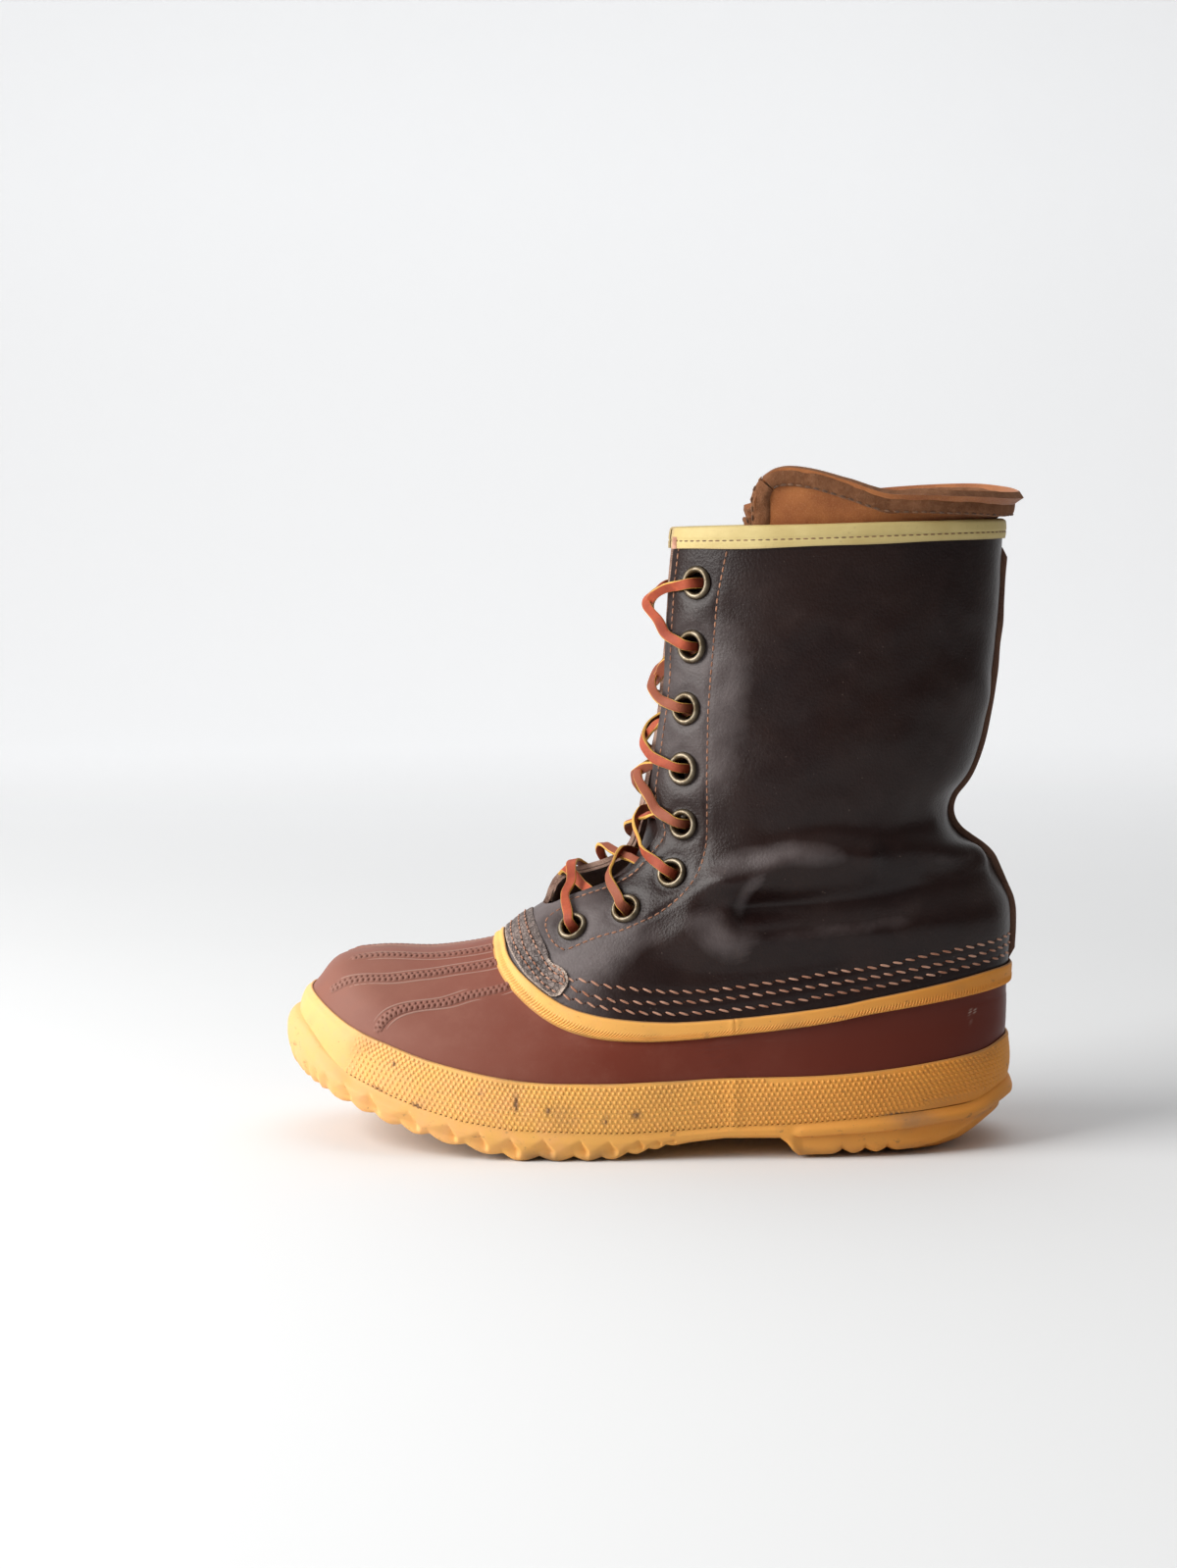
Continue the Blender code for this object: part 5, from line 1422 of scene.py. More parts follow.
def lay_ridge(name, rows, side, half, knurl):
    """A low strip along the rows, with two staggered rows of dimples where knurl is 1, painted shade in the
    dimples and a painted highlight on the raised nodes between them.
    """
    turn, v = side * rows[:, 0], rows[:, 1]
    centre, normal = skin_point(turn, v), skin_normal(turn, v)
    tangent = unit(np.gradient(centre, axis=0))
    across = unit(np.cross(tangent, normal))
    wide = half * np.minimum(1, 0.35 + np.arange(len(rows)) / 14)
    place = np.linspace(-1, 1, 17 if knurl else 7)
    crown = (1 - np.abs(place) ** 3.0) ** 0.75
    run = lengths_along(centre)
    beat = 2 * pi * run[:, None] / KNURL_PITCH
    rank = np.sign(place)[None]
    dimple = share_of(np.sin(beat + rank * pi / 2 + 1.2 * place[None])) ** 1.3
    dimple = knurl * dimple * hump(np.abs(place)[None] - 0.44, 0.30)
    fade = np.minimum(1, np.arange(len(rows)) / 12)[:, None]
    tall = 0.95 * MM if knurl else 0.24 * MM
    height = (tall * crown[None] - 0.85 * MM * dimple) * fade - 0.06 * MM
    height[:, 0] = height[:, -1] = -0.25 * MM
    flat = centre[:, None] + across[:, None] * (place[None] * wide[:, None])[..., None]
    table = flat + normal[:, None] * height[..., None]
    under = flat - normal[:, None] * 1.0 * MM
    table = np.concatenate([under[:1], table, under[-1:]])
    # Painted shade in the dimples; a painted highlight on the knurl's raised nodes, and pale thin lines beside
    # the ridges.
    pit = np.concatenate([dimple[:1], dimple * fade, dimple[-1:]])
    pale = 0.09 * (1 - pit) if knurl else np.full(pit.shape, 0.26)
    if side < 0:
        table, pit, pale = table[:, ::-1], pit[:, ::-1], pale[:, ::-1]
    wear = pale * np.concatenate([[0], fade[:, 0], [0]])[:, None]
    obj = lay(name, table, [bloomed_rubber()], wear=wear, pit=pit)
    complete(obj, "brown_rubber", wall=0.5 * MM, outwards=True, angle=70)


STRIP_SHARES = np.array((0, 0.03, 0.08, 0.15, 0.25, 0.36, 0.44, 0.50, 0.58, 0.70, 0.82, 0.90, 0.95, 0.985, 1.0))


def band_place(turn, share, out):
    """Points of the side band: share 0 at the sole, 1 at the band's top."""
    turn, share = np.broadcast_arrays(np.asarray(turn, float), np.asarray(share, float))
    folded = np.where(turn > 1, 2 - turn, turn)
    v = share * along_line(BAND_TOP, folded)
    place = skin(turn, v, out)
    foot = skin(turn, 0.0, out)
    place[..., 2] += share_of(1 - v) * (sole_top(foot[..., 0]) + GAP - foot[..., 2])
    return place


BUMPER_JOINT = ((0.0, 0.770), (0.32, 0.756), (0.88, 0.742), (1.0, 0.738))
BAND_PROUD = 2.25 * MM
BUMPER_SWELL = 0.7 * MM
DOT_LEAN = radians(55)
DOT_SUNK = 0.12 * MM
BAND_TICKS = ((54.3, 0.55, 0.9, 3.2), (41.4, 0.45, 0.9, 1.2), (18.0, 0.30, 0.8, 1.8), (6.0, 0.38, 1.6, 1.4),
              (95.0, 0.05, 2.0, 0.9), (111.0, 0.03, 2.4, 0.8), (104.0, 0.62, 0.6, 1.0), (-99.0, 0.04, 5.0, 1.2))


def past_joint(turn, share, reach=0.05):
    """0 on the dotted side band, rising to 1 on the smooth bumper round the toe."""
    joints = np.array(BUMPER_JOINT)
    end = np.interp(share, joints[:, 0], joints[:, 1])
    return ease(np.abs(turn), end - 0.012, end - 0.012 + reach)


def band_level(turn, share):
    """How far the side band's face stands off the skin, but for its rounded top edge."""
    points = band_place(turn, share, 0.0)
    bumper = past_joint(turn, share)
    level = BAND_PROUD + BUMPER_SWELL * bumper + 0.10 * MM * wobble(points, 13 * MM, 1.0)
    level = level * (1 - (0.34 + 0.34 * bumper) * ease(share, 0.62 - 0.25 * bumper, 1.02))
    for side in (1, -1):
        reach = np.abs(points[..., 0] - skin_point(side * 0.413, 1.0)[0])
        level = level + 0.45 * MM * hump(reach, 2.3 * MM) * (points[..., 1] * side > 0)
    return level


def band_soil(points, share):
    """Grime in the band's hollows, along its top and in a few short scuffs."""
    soil = share_of(wobble(points, 11 * MM, 6.0) - 0.35) * 0.6 + 0.5 * (share > 0.965)
    for x, level, wide, tall in BAND_TICKS:
        away = ((points[..., 0] - x * MM) / (wide * MM)) ** 2 + ((share - level) * 22 / tall) ** 2
        soil = soil + 1.6 * np.exp(-away) * (points[..., 1] > 0)
    return np.clip(soil, 0, 1.4)


def heel_smudge(points):
    """Grey rubs round the heel, between 10 and 24 mm up."""
    round_heel = ease(-points[..., 0], 0.086, 0.110)
    level = ease(points[..., 2], 0.010, 0.013) * (1 - ease(points[..., 2], 0.018, 0.026))
    patchy = ease(wobble(points * np.array((0.5, 0.5, 1.6)), 6 * MM, 5.0), -0.6, 1.0)
    return 0.7 * round_heel * level * patchy


def make_foxing():
    share = np.concatenate([np.linspace(-0.02, 0.88, 14), [0.93, 0.96, 0.98, 0.993, 1.0]])[:, None]
    turn = np.broadcast_to(np.linspace(1, -1, 901)[None], (len(share), 901))
    rounded = np.sqrt(share_of(1 - (share_of(share - 0.955) / 0.046) ** 2))
    table = band_place(turn, share, band_level(turn, share) * (0.12 + 0.88 * rounded))
    obj = lay("side_band", table, [gum_band()], wear=band_soil(table, share), smudge=heel_smudge(table))
    complete(obj, "gum_rubber", "foxing", "toe_bumper", merged=SEAM, wall=BAND_PROUD * 0.5)
    for side, word in SIDES:
        side_band_dots(f"side_band_dots_{word}", side)


def dot_places(side, pitch):
    """Turn and share of each dot in staggered rows, and 1 for the lowest row's."""
    fine = np.linspace(0, 0.79, 1200)
    foot = band_place(side * fine, 0.0, BAND_PROUD)
    run = lengths_along(foot)
    tall = np.linalg.norm(band_place(side * fine, 1.0, BAND_PROUD) - foot, axis=-1)
    spots = []
    for row in range(-1, 15):
        height = pitch * (0.46 if row < 0 else 0.98 + row * 0.78)
        at = np.arange((row % 2) * pitch / 2 + 0.3 * pitch, run[-1], pitch)
        spots.append((side * np.interp(at, run, fine), height / np.interp(at, run, tall), 0 * at + (row < 0)))
    turn, share, last = np.concatenate(spots, axis=1)
    kept = (share < 0.925) & (past_joint(turn, share, 0.045) < 0.95)
    return turn[kept], share[kept], last[kept]


def half_bead():
    """The upper half of a ball, closed below."""
    deselect()
    bpy.ops.mesh.primitive_uv_sphere_add(segments=8, ring_count=6, radius=1.0)
    bead = bpy.context.object
    in_edit_mode(bead, select_mode={"type": "VERT"}, select_all={"action": "DESELECT"})
    bead.data.vertices.foreach_set("select", points_of(bead)[:, 2] < -0.1)
    in_edit_mode(
        bead, delete={"type": "VERT"}, select_all={"action": "SELECT"}, region_to_loop={}, edge_face_add={})
    return bead


def side_band_dots(name, side):
    """Low beads in staggered rows, which lean into diagonals and die out at the heel."""
    pitch = boot().dot_pitch
    turn, share, last = dot_places(side, pitch)
    centre = band_place(turn, share, band_level(turn, share))
    here = band_place(turn, share, BAND_PROUD)
    along = unit(band_place(turn + side * 0.002, share, BAND_PROUD) - here)
    up = unit(band_place(turn, share + 0.02, BAND_PROUD) - here)
    normal = unit(np.cross(up, along)) * side
    back = -centre[:, 0]
    heel = ease(back, 0.086, 0.118)
    lean = heel[:, None] * DOT_LEAN
    up = unit(up * np.cos(lean) + along * np.sin(lean))
    along = unit(np.cross(normal, up)) * side
    joint = 1 - past_joint(turn, share, 0.045)
    worn = ease(share, 0.18 * heel - 0.05, 0.18 * heel + 0.12)
    worn = worn * (1 - 0.7 * ease(back, 0.138, 0.150))
    strength = joint * share_of(worn) * (1 - 0.4 * last) * (1 - 0.15 * heel)
    drawn = (1 + 0.35 * last) * (1 + 0.5 * heel)
    kept = strength > 0.12
    bead = half_bead()
    obj = strew(name, bead.data, [
        (centre - normal * DOT_SUNK)[kept],
        along[kept] * (0.34 * pitch),
        up[kept] * (0.42 * pitch * drawn[kept])[:, None],
        normal[kept] * ((boot().dot_height + DOT_SUNK) * strength[kept])[:, None],
    ], gum_band())
    bpy.data.objects.remove(bead)
    points = points_of(obj)
    soil = band_soil(points, np.repeat(share[kept], len(points) // kept.sum())) * 0.8
    obj.data.attributes.new("wear", "FLOAT", "POINT").data.foreach_set("value", soil.astype(np.float32))
    face_outwards(obj)
    settle(obj, "gum_rubber")


def make_top_strip():
    fine = np.linspace(0, 1, 900)
    level = (along_line(STRIP_LOW, fine) + along_line(STRIP_TOP, fine)) / 2
    run = lengths_along(skin_point(fine, level))
    distance = np.linspace(run[-1], 0, int(run[-1] / boot().rib_pitch * 5))
    half = np.interp(distance, run, fine)
    turn = np.concatenate([half, -half[-2::-1]])
    distance = np.concatenate([distance, -distance[-2::-1]])
    share = STRIP_SHARES[:, None]
    low, top = along_line(STRIP_LOW, turn), along_line(STRIP_TOP, turn)
    v = low + (top - low) * share
    turn = np.broadcast_to(turn, v.shape)
    rounded = np.sqrt(share_of(1 - (share_of(np.abs(share - 0.52) - 0.34) / 0.15) ** 2))
    ribbed = ease(share, 0.02, 0.10) * (1 - ease(share, 0.42, 0.52))
    ribs = np.cos(2 * pi * distance / boot().rib_pitch)[None] * ribbed
    points = skin_point(turn, v)
    out = (1.75 * MM + 0.08 * MM * wobble(points, 12 * MM, 2.0)) * (0.2 + 0.8 * rounded) + 0.24 * MM * ribs
    for side in (1, -1):
        reach = points[..., 0] - skin_point(side * 0.457, 6.5)[0]
        joint = 0.35 * MM * hump(reach, 2.0 * MM) - 0.5 * MM * hump(reach, 0.4 * MM)
        out = out + joint * (points[..., 1] * side > 0)
    table = skin(turn, v, out)
    grime = (share < 0.06) * 0.5 + (share > 0.97) * 1.0 + share_of(wobble(table, 9 * MM, 8.0) - 0.45) * 0.5
    obj = lay("strip_over_join", table, [gum_band()], wear=grime)
    complete(obj, "gum_rubber", "top_strip", merged=SEAM, wall=STRIP_WALL)


# ---------------------------------------------------------------- the outsole

SCOOPS = np.array((  # the crest of each scoop in the lugged edge, from the toe back
    0.1460, 0.1420, 0.1380, 0.1337, 0.1253, 0.1150, 0.0985, 0.0820, 0.0696, 0.0569,
    0.0434, 0.0285, 0.0170, 0.0048, -0.0026, -0.0086, -0.0140,
))
CUSPS = np.array((  # where two lugs meet at the bottom
    0.1418, 0.1380, 0.1337, 0.1235, 0.1135, 0.1020, 0.0903, 0.0753, 0.0600, 0.0451,
    0.0310, 0.0198, 0.0093, 0.0007, -0.0063,
))
HEEL_CUSPS = np.array((-0.0779, -0.0874, -0.0964))
HEEL_GROOVES = np.array((-0.0685, -0.0779, -0.0874, -0.0964, -0.1060))
RIB_WAVE = 2.6 * MM
LUG_SIZES = (4 * MM, 13 * MM)
GROOVE_DEPTH = 3.0 * MM
GROOVE_REACH = 2.6 * MM
TOE_FLUTE_PITCH = 6.4 * MM
WAVE_AT = ((0.0, 0.0), (0.07, 0.0), (0.27, 1.0), (0.5, -1.0), (0.73, 1.0), (0.93, 0.0), (1.0, 0.0))
WALL_SHARES = np.array((
    0, 0.03, 0.07, 0.12, 0.18, 0.24, 0.30, 0.36, 0.42, 0.48, 0.54, 0.58, 0.60, 0.62, 0.65,
    0.68, 0.73, 0.78, 0.83, 0.875, 0.915, 0.95, 0.98, 1.0,
))


def sole_edge(turn):
    """The sole's outline: x, outer y and inner y at each turn from 0 to 1."""
    angle = np.asarray(turn) * pi
    front = angle > pi / 2
    square = np.where(front, SOLE_SQUARE_FRONT, SOLE_SQUARE_BACK)
    end = np.where(front, SOLE_FRONT_X, SOLE_BACK_X)
    x = SOLE_WIDE_X + (end - SOLE_WIDE_X) * np.abs(np.cos(angle)) ** (2 / square)
    half = SOLE_HALF * np.abs(np.sin(angle)) ** (2 / square)
    return x, foot_shift(x, half, 1.0), foot_shift(x, -half, 1.0)


def cusp_share(x, cusps, reach):
    """1 at a cusp, falling to 0 at reach from it."""
    distance = np.abs(x[..., None] - cusps)
    return share_of(1 - distance / reach[..., None]).max(axis=-1)


def lug_size(x):
    return np.interp(-x, -CUSPS, np.abs(np.gradient(CUSPS)))


def make_outsole():
    fine = np.linspace(0, 1, 4000)
    x, outer, inner = sole_edge(fine)
    run = lengths_along(np.stack([x, (outer - inner) / 2, sole_top(x)], axis=-1))
    stations = np.interp(np.linspace(0, run[-1], 620), run, fine)
    outer_wall, inner_wall = [side_wall(stations, side) for side in (1, -1)]
    across = np.linspace(0, 1, 45)[1:-1]
    low_out, low_in = outer_wall[:, 0], inner_wall[:, 0]
    bottom = low_in[:, None] + (low_out - low_in)[:, None] * across[None, :, None]
    x_here = bottom[..., 0]
    wave = np.array(WAVE_AT)
    bend = np.interp(across, wave[:, 0], wave[:, 1])[None] * RIB_WAVE
    ribbed = share_of(ease(x_here, -0.010, 0.012) + ease(-x_here, 0.064, 0.070))
    waved = x_here - bend * ribbed
    size = lug_size(waved)
    fore = ease(1.0 - 2.6 * share_of(1 - cusp_share(waved, CUSPS, size * 0.5)), 0, 0.6)
    rear = cusp_share(waved, HEEL_GROOVES, np.full(waved.shape, GROOVE_REACH))
    deep = fore * np.interp(size, LUG_SIZES, (0.8 * MM, 4.2 * MM)) + ease(rear, 0, 0.6) * GROOVE_DEPTH
    inner_share = np.minimum(across, 1 - across)[None]
    inboard = ease(inner_share, 0.0, 0.12)
    lift_out, lift_in = ((low[:, 2] - sole_bottom(low[:, 0]))[:, None] for low in (low_out, low_in))
    edge_lift = np.where(across[None] > 0.5, lift_out, lift_in)
    room = share_of(sole_top(x_here) - sole_bottom(x_here) - 3 * MM)
    rise = np.minimum(deep * ribbed, room) * inboard
    bottom[..., 2] = sole_bottom(x_here) + np.maximum(rise, edge_lift * (1 - inboard))
    high_out, high_in = outer_wall[:, -1], inner_wall[:, -1]
    top_share = np.linspace(0, 1, 7)[1:-1]
    top = high_out[:, None] + (high_in - high_out)[:, None] * top_share[None, :, None]
    loop = np.concatenate([bottom, outer_wall, top, inner_wall[:, ::-1], bottom[:, :1]], axis=1)
    scuff = ease(0.006 - loop[..., 2], 0, 0.006) * share_of(0.3 + wobble(loop, 8 * MM, 2.0))
    scuff += 0.5 * share_of(wobble(loop, 9 * MM, 3.0) - 0.3) * (loop[..., 0] < -0.05)
    obj = lay("gum_outsole", loop, [gum_sole()], wear=scuff, smudge=heel_smudge(loop))
    complete(obj, "gum_rubber", "outsole", merged=0.03 * MM, outwards=True, angle=42)


def scoop_depth(x, share):
    """How deep the scoops between the lugs cut into the wall."""
    phase = np.interp(-x, -SCOOPS, np.arange(len(SCOOPS)))
    size = np.interp(phase, np.arange(len(SCOOPS)), np.abs(np.gradient(SCOOPS)))
    top = np.interp(size, np.array((4.0, 9.0, 13.0)) * MM, (0.42, 0.70, 0.80))
    deep = np.interp(size, np.array((4.0, 8.0, 13.6)) * MM, (0.8 * MM, 1.8 * MM, 2.5 * MM))
    fall = share_of((top - share) / (top - 0.33))
    cut = np.zeros_like(fall)
    for frac in (phase % 1, phase % 1 - 1):
        t = (frac + 0.67 * fall) / np.maximum(fall, 0.03)
        inside = np.where(t < 0.86, share_of(t / 0.86) ** 1.35, 1 - ease(t, 0.86, 1.0))
        cut = np.maximum(cut, inside * (t > 0))
    ends = ease(x, -0.0125, -0.0085) * (1 - ease(x, 0.1425, 0.1450))
    return cut * deep * share_of(fall) ** 0.75 * ease(share, 0.0, 0.36) * ends, ends


def side_wall(stations, side):
    """Stations by heights of one side wall, from the bottom edge up to under the band."""
    x, outer, inner = sole_edge(stations)
    edge = np.stack([x, outer if side > 0 else inner], axis=-1)
    along = np.gradient(edge, axis=0)
    normal = unit(np.stack([-along[:, 1], along[:, 0]], axis=-1)) * side
    normal[0], normal[-1] = (-1, 0), (1, 0)
    run = lengths_along(edge)[:, None]
    fine = side * np.linspace(0, 1, 2400)
    foot = band_place(fine, 0.0, BAND_PROUD)
    foot[..., 2] = 0
    _, which = near(np.column_stack([edge, np.zeros(len(edge))]), foot)
    turn = side * which
    turn[0], turn[-1] = 0, side
    toe_lip = ease(x, 0.122, 0.147)
    heel_lip = ease(-x, 0.128, 0.150)
    edge = edge - normal * (1.5 * MM * heel_lip)[:, None]
    climb = 0.3 * MM + 5.0 * MM * toe_lip + 4.5 * MM * heel_lip
    tall = np.linalg.norm(band_place(turn, 1.0, 0.0) - band_place(turn, 0.0, 0.0), axis=-1)
    level = band_level(turn, climb / tall)
    crown = band_place(turn, climb / tall, level - 0.10 * MM)
    tuck = band_place(turn, 0.0, level - 1.4 * MM)
    share, xx = WALL_SHARES[None], x[:, None]
    z_low, lip = sole_bottom(xx), np.maximum(toe_lip, heel_lip)[:, None]
    heel = 1 - ease(xx, -0.062, -0.056)
    back = ease(-xx, 0.118, 0.146)
    start = 0.58 + 0.22 * heel - 0.10 * lip
    t = share_of((share - start) / (1 - start))
    lean_in = t ** 2 * (3 - 2 * t) * (1 - lip) + (1 - np.sqrt(1 - t ** 2)) * lip
    cut, ends = scoop_depth(xx, share)
    size = lug_size(xx)
    cusp = cusp_share(xx, CUSPS, size * 0.5) ** 1.7 * ends
    heel_cusp = cusp_share(xx, HEEL_CUSPS, np.full(xx.shape, 4.9 * MM)) ** 1.8
    round_low = (1.7 - 0.4 * heel) * MM * share_of(1 - share / 0.30) ** 2.2
    scallop = 1.2 * MM * cusp * share_of(1 - share / 0.4)
    front = ease(xx, 0.1430, 0.1465)
    flutes = np.cos(2 * pi * run / TOE_FLUTE_PITCH)
    fluted = 0.7 * MM * ease(flutes, 0.1, 1.0) * share_of(1 - share / 0.42) * front
    block = (1.6 + 1.9 * back) * MM * (1 - ease(share, 0.585, 0.615)) * heel
    strip = -0.35 * MM * hump(share - 0.72, 0.10) * heel
    after = HEEL_CUSPS - xx
    hooked = share_of(1 - after / (4.6 * MM)) * (after > -0.3 * MM)
    hooks = 1.0 * MM * hooked.max(axis=-1, keepdims=True) * share_of(1 - share / 0.17)
    inset = cut + round_low + scallop + fluted + block + strip + hooks
    tip = np.minimum(1, np.minimum(run, run[-1] - run) / (4 * MM) + 0.55)
    inset = inset * tip * (1 - lean_in)
    lifted = np.interp(size, LUG_SIZES, (0.4 * MM, 1.7 * MM)) * cusp + 1.9 * MM * heel_cusp
    lifted = lifted + 0.5 * MM * front * (flutes > 0.5)
    rim = np.interp(xx, HEEL_EDGE[:, 0], HEEL_EDGE[:, 1])
    step = 0.60 - 0.24 * back
    raised = np.where(share < 0.60, share * step / 0.60, step + (share - 0.60) * (1 - step) / 0.40)
    z = z_low + lifted * share_of(1 - share / 0.5) + rim * (1 - share) + (crown[:, 2:] - z_low) * raised
    place = edge[:, None] - normal[:, None] * inset[..., None]
    place = place + (crown[:, None, :2] - edge[:, None]) * lean_in[..., None]
    wall = np.concatenate([place, z[..., None]], axis=-1)
    return np.concatenate([wall, tuck[:, None]], axis=1)


# ---------------------------------------------------------------- eyelets and lace

EYELET_PROFILE = (
    (4.20, -2.30, 0.0), (4.25, -0.60, 0.0), (4.42, 0.30, 0.3), (4.78, 0.88, 0.9), (5.22, 1.15, 1.0),
    (5.70, 1.15, 0.9), (6.15, 0.90, 0.6), (6.52, 0.50, 0.3), (6.84, 0.10, 0.1), (6.95, -0.15, 0.0),
    (6.55, -0.35, 0.0), (5.80, -0.38, 0.0), (5.10, -0.45, 0.0), (4.75, -1.00, 0.0), (4.70, -2.30, 0.0),
    (4.40, -2.60, 0.0),
)
EYELET_LIFT = 0.25 * MM


def surface_axes(turn, v):
    """Unit vectors on the surface: towards the front, up, and out."""
    normal = skin_normal(turn, v)
    along = unit(skin_point(turn + np.sign(turn) * 0.002, v) - skin_point(turn, v))
    up = unit(np.cross(normal, along))
    up = up * np.where(up[..., 2:] < 0, -1, 1)
    return along, up, normal


def make_eyelets():
    radius_of, height_of, shine_of = np.array(EYELET_PROFILE).T[..., None]
    around = np.linspace(0, 2 * pi, 49)
    for side, word in SIDES:
        for number, place in enumerate(EYELETS, start=1):
            turn, v = np.array([side * place[0]]), np.array([place[1]])
            centre = leather_place(turn, v, EYELET_LIFT)[0]
            along, up, normal = (part[0] for part in surface_axes(turn, v))
            dented = 0.06 * MM * np.sin(3 * around + number)
            radius = (radius_of * MM + dented[None] * (shine_of > 0)) * (1.0 if number < 5 else 0.93)
            spokes = np.cos(around)[:, None] * along + np.sin(around)[:, None] * up
            table = centre + radius[..., None] * spokes + (height_of * MM)[..., None] * normal
            shine = np.concatenate([shine_of, shine_of[:1]]) * np.ones(len(around))
            table = np.concatenate([table, table[:1]])
            obj = lay(f"brass_eyelet_{word}_{number}", table, [aged_brass()], wear=shine)
            complete(obj, "brass", f"eyelet_{word}_{number}", merged=0.005 * MM, outwards=True, angle=70)


# For each crossing from the top: how far the outer side's strand stands off midway, the same for
# the inner side's, in mm, how far up they are by then, and the outer strand's roll
CROSSINGS = (
    (6.0, 4.0, 0.76, 0.8), (-0.4, -2.3, 0.46, -0.9), (1.6, -0.4, 0.52, 0.1), (2.0, 0.1, 0.86, -0.9),
    (-0.3, -2.2, 0.95, -0.8), (1.2, -0.8, 0.93, 0.5), (8.6, -0.4, 0.80, 0.35),
)
TWISTED = {(1, 1), (3, -1), (4, 1), (6, 1), (2, 1), (5, -1)}
OVER_FLAP = 7


LACE_STEP = 0.42 * MM
SLACK_PASSES = 70
EVEN_PASSES = 10


def squared_to(sides, tangent):
    return unit(sides - tangent * np.sum(sides * tangent, axis=-1, keepdims=True))


def lace_path():
    """The lace's middle line from end to end, and the way its width lies at each point."""
    path, across = [], []
    for points, sides, spin in lace_parts():
        if across and np.dot(across[-1][-1], sides[0]) < 0:
            sides = -sides
        tangent = unit(np.gradient(points, axis=0))
        sides = squared_to(sides, tangent)
        path.append(points)
        across.append(sides * np.cos(spin)[:, None] + np.cross(tangent, sides) * np.sin(spin)[:, None])
    path, across = np.concatenate(path), np.concatenate(across)
    run = lengths_along(path)
    even = np.arange(0, run[-1], LACE_STEP)
    path, across = (
        np.stack([np.interp(even, run, part[:, i]) for i in range(3)], axis=-1) for part in (path, across))
    centres = np.array([skin(side * place[0], place[1]) for side in (1, -1) for place in EYELETS])
    gaps = np.linalg.norm(path[:, None] - centres[None], axis=-1).min(axis=1)
    slack = ease(gaps, 3.5 * MM, 7.5 * MM)[1:-1, None]
    for _ in range(SLACK_PASSES):
        path[1:-1] += slack * ((path[:-2] + 2 * path[1:-1] + path[2:]) / 4 - path[1:-1])
    for _ in range(EVEN_PASSES):
        path[1:-1] = (path[:-2] + 2 * path[1:-1] + path[2:]) / 4
        across[1:-1] = unit(across[:-2] + 2 * across[1:-1] + across[2:])
    return path, across


def lace_parts():
    """Points, sides and twist of every stretch, from the inner side's top eyelet to the outer's."""
    for start in (-1, 1):
        strands, side = [], start
        for number in range(7, 0, -1):
            strands.append(lace_strand(number, side))
            side = -side
        if start < 0:
            yield from ([part[::-1] for part in strand] for strand in reversed(strands))
            yield hidden_stretch()
        else:
            yield from strands


def make_lace():
    path, across = lace_path()
    tangent = unit(np.gradient(path, axis=0))
    across = squared_to(across, tangent)
    facing = np.cross(across, tangent)
    x, y = closed_section(20, 5.5)
    run = lengths_along(path)[:, None]
    wide = boot().lace_width / 2 * (1 + 0.07 * np.sin(run / (7 * MM)) + 0.05 * np.sin(run / (2.3 * MM)))
    thick = boot().lace_thickness / 2 * (1 + 0.12 * np.sin(run / (5 * MM) + 1))
    cup = 0.22 * MM * np.sin(run / (19 * MM))
    table = capped(path[:, None] + across[:, None] * (x * wide)[..., None]
                   + facing[:, None] * (y * thick + cup * (x ** 2 - 0.4))[..., None])
    edge = np.abs(x) > 0.93
    obj = lay("hide_lace", table, [hide_lace()], edge=edge, back=(y < 0) & ~edge)
    complete(obj, "lace_hide", *[f"lace_crossing_{k}" for k in range(1, 8)], "lace_bar",
             merged=0.002 * MM, outwards=True, angle=60)
    print("lace length", round(float(run[-1, 0]), 4))


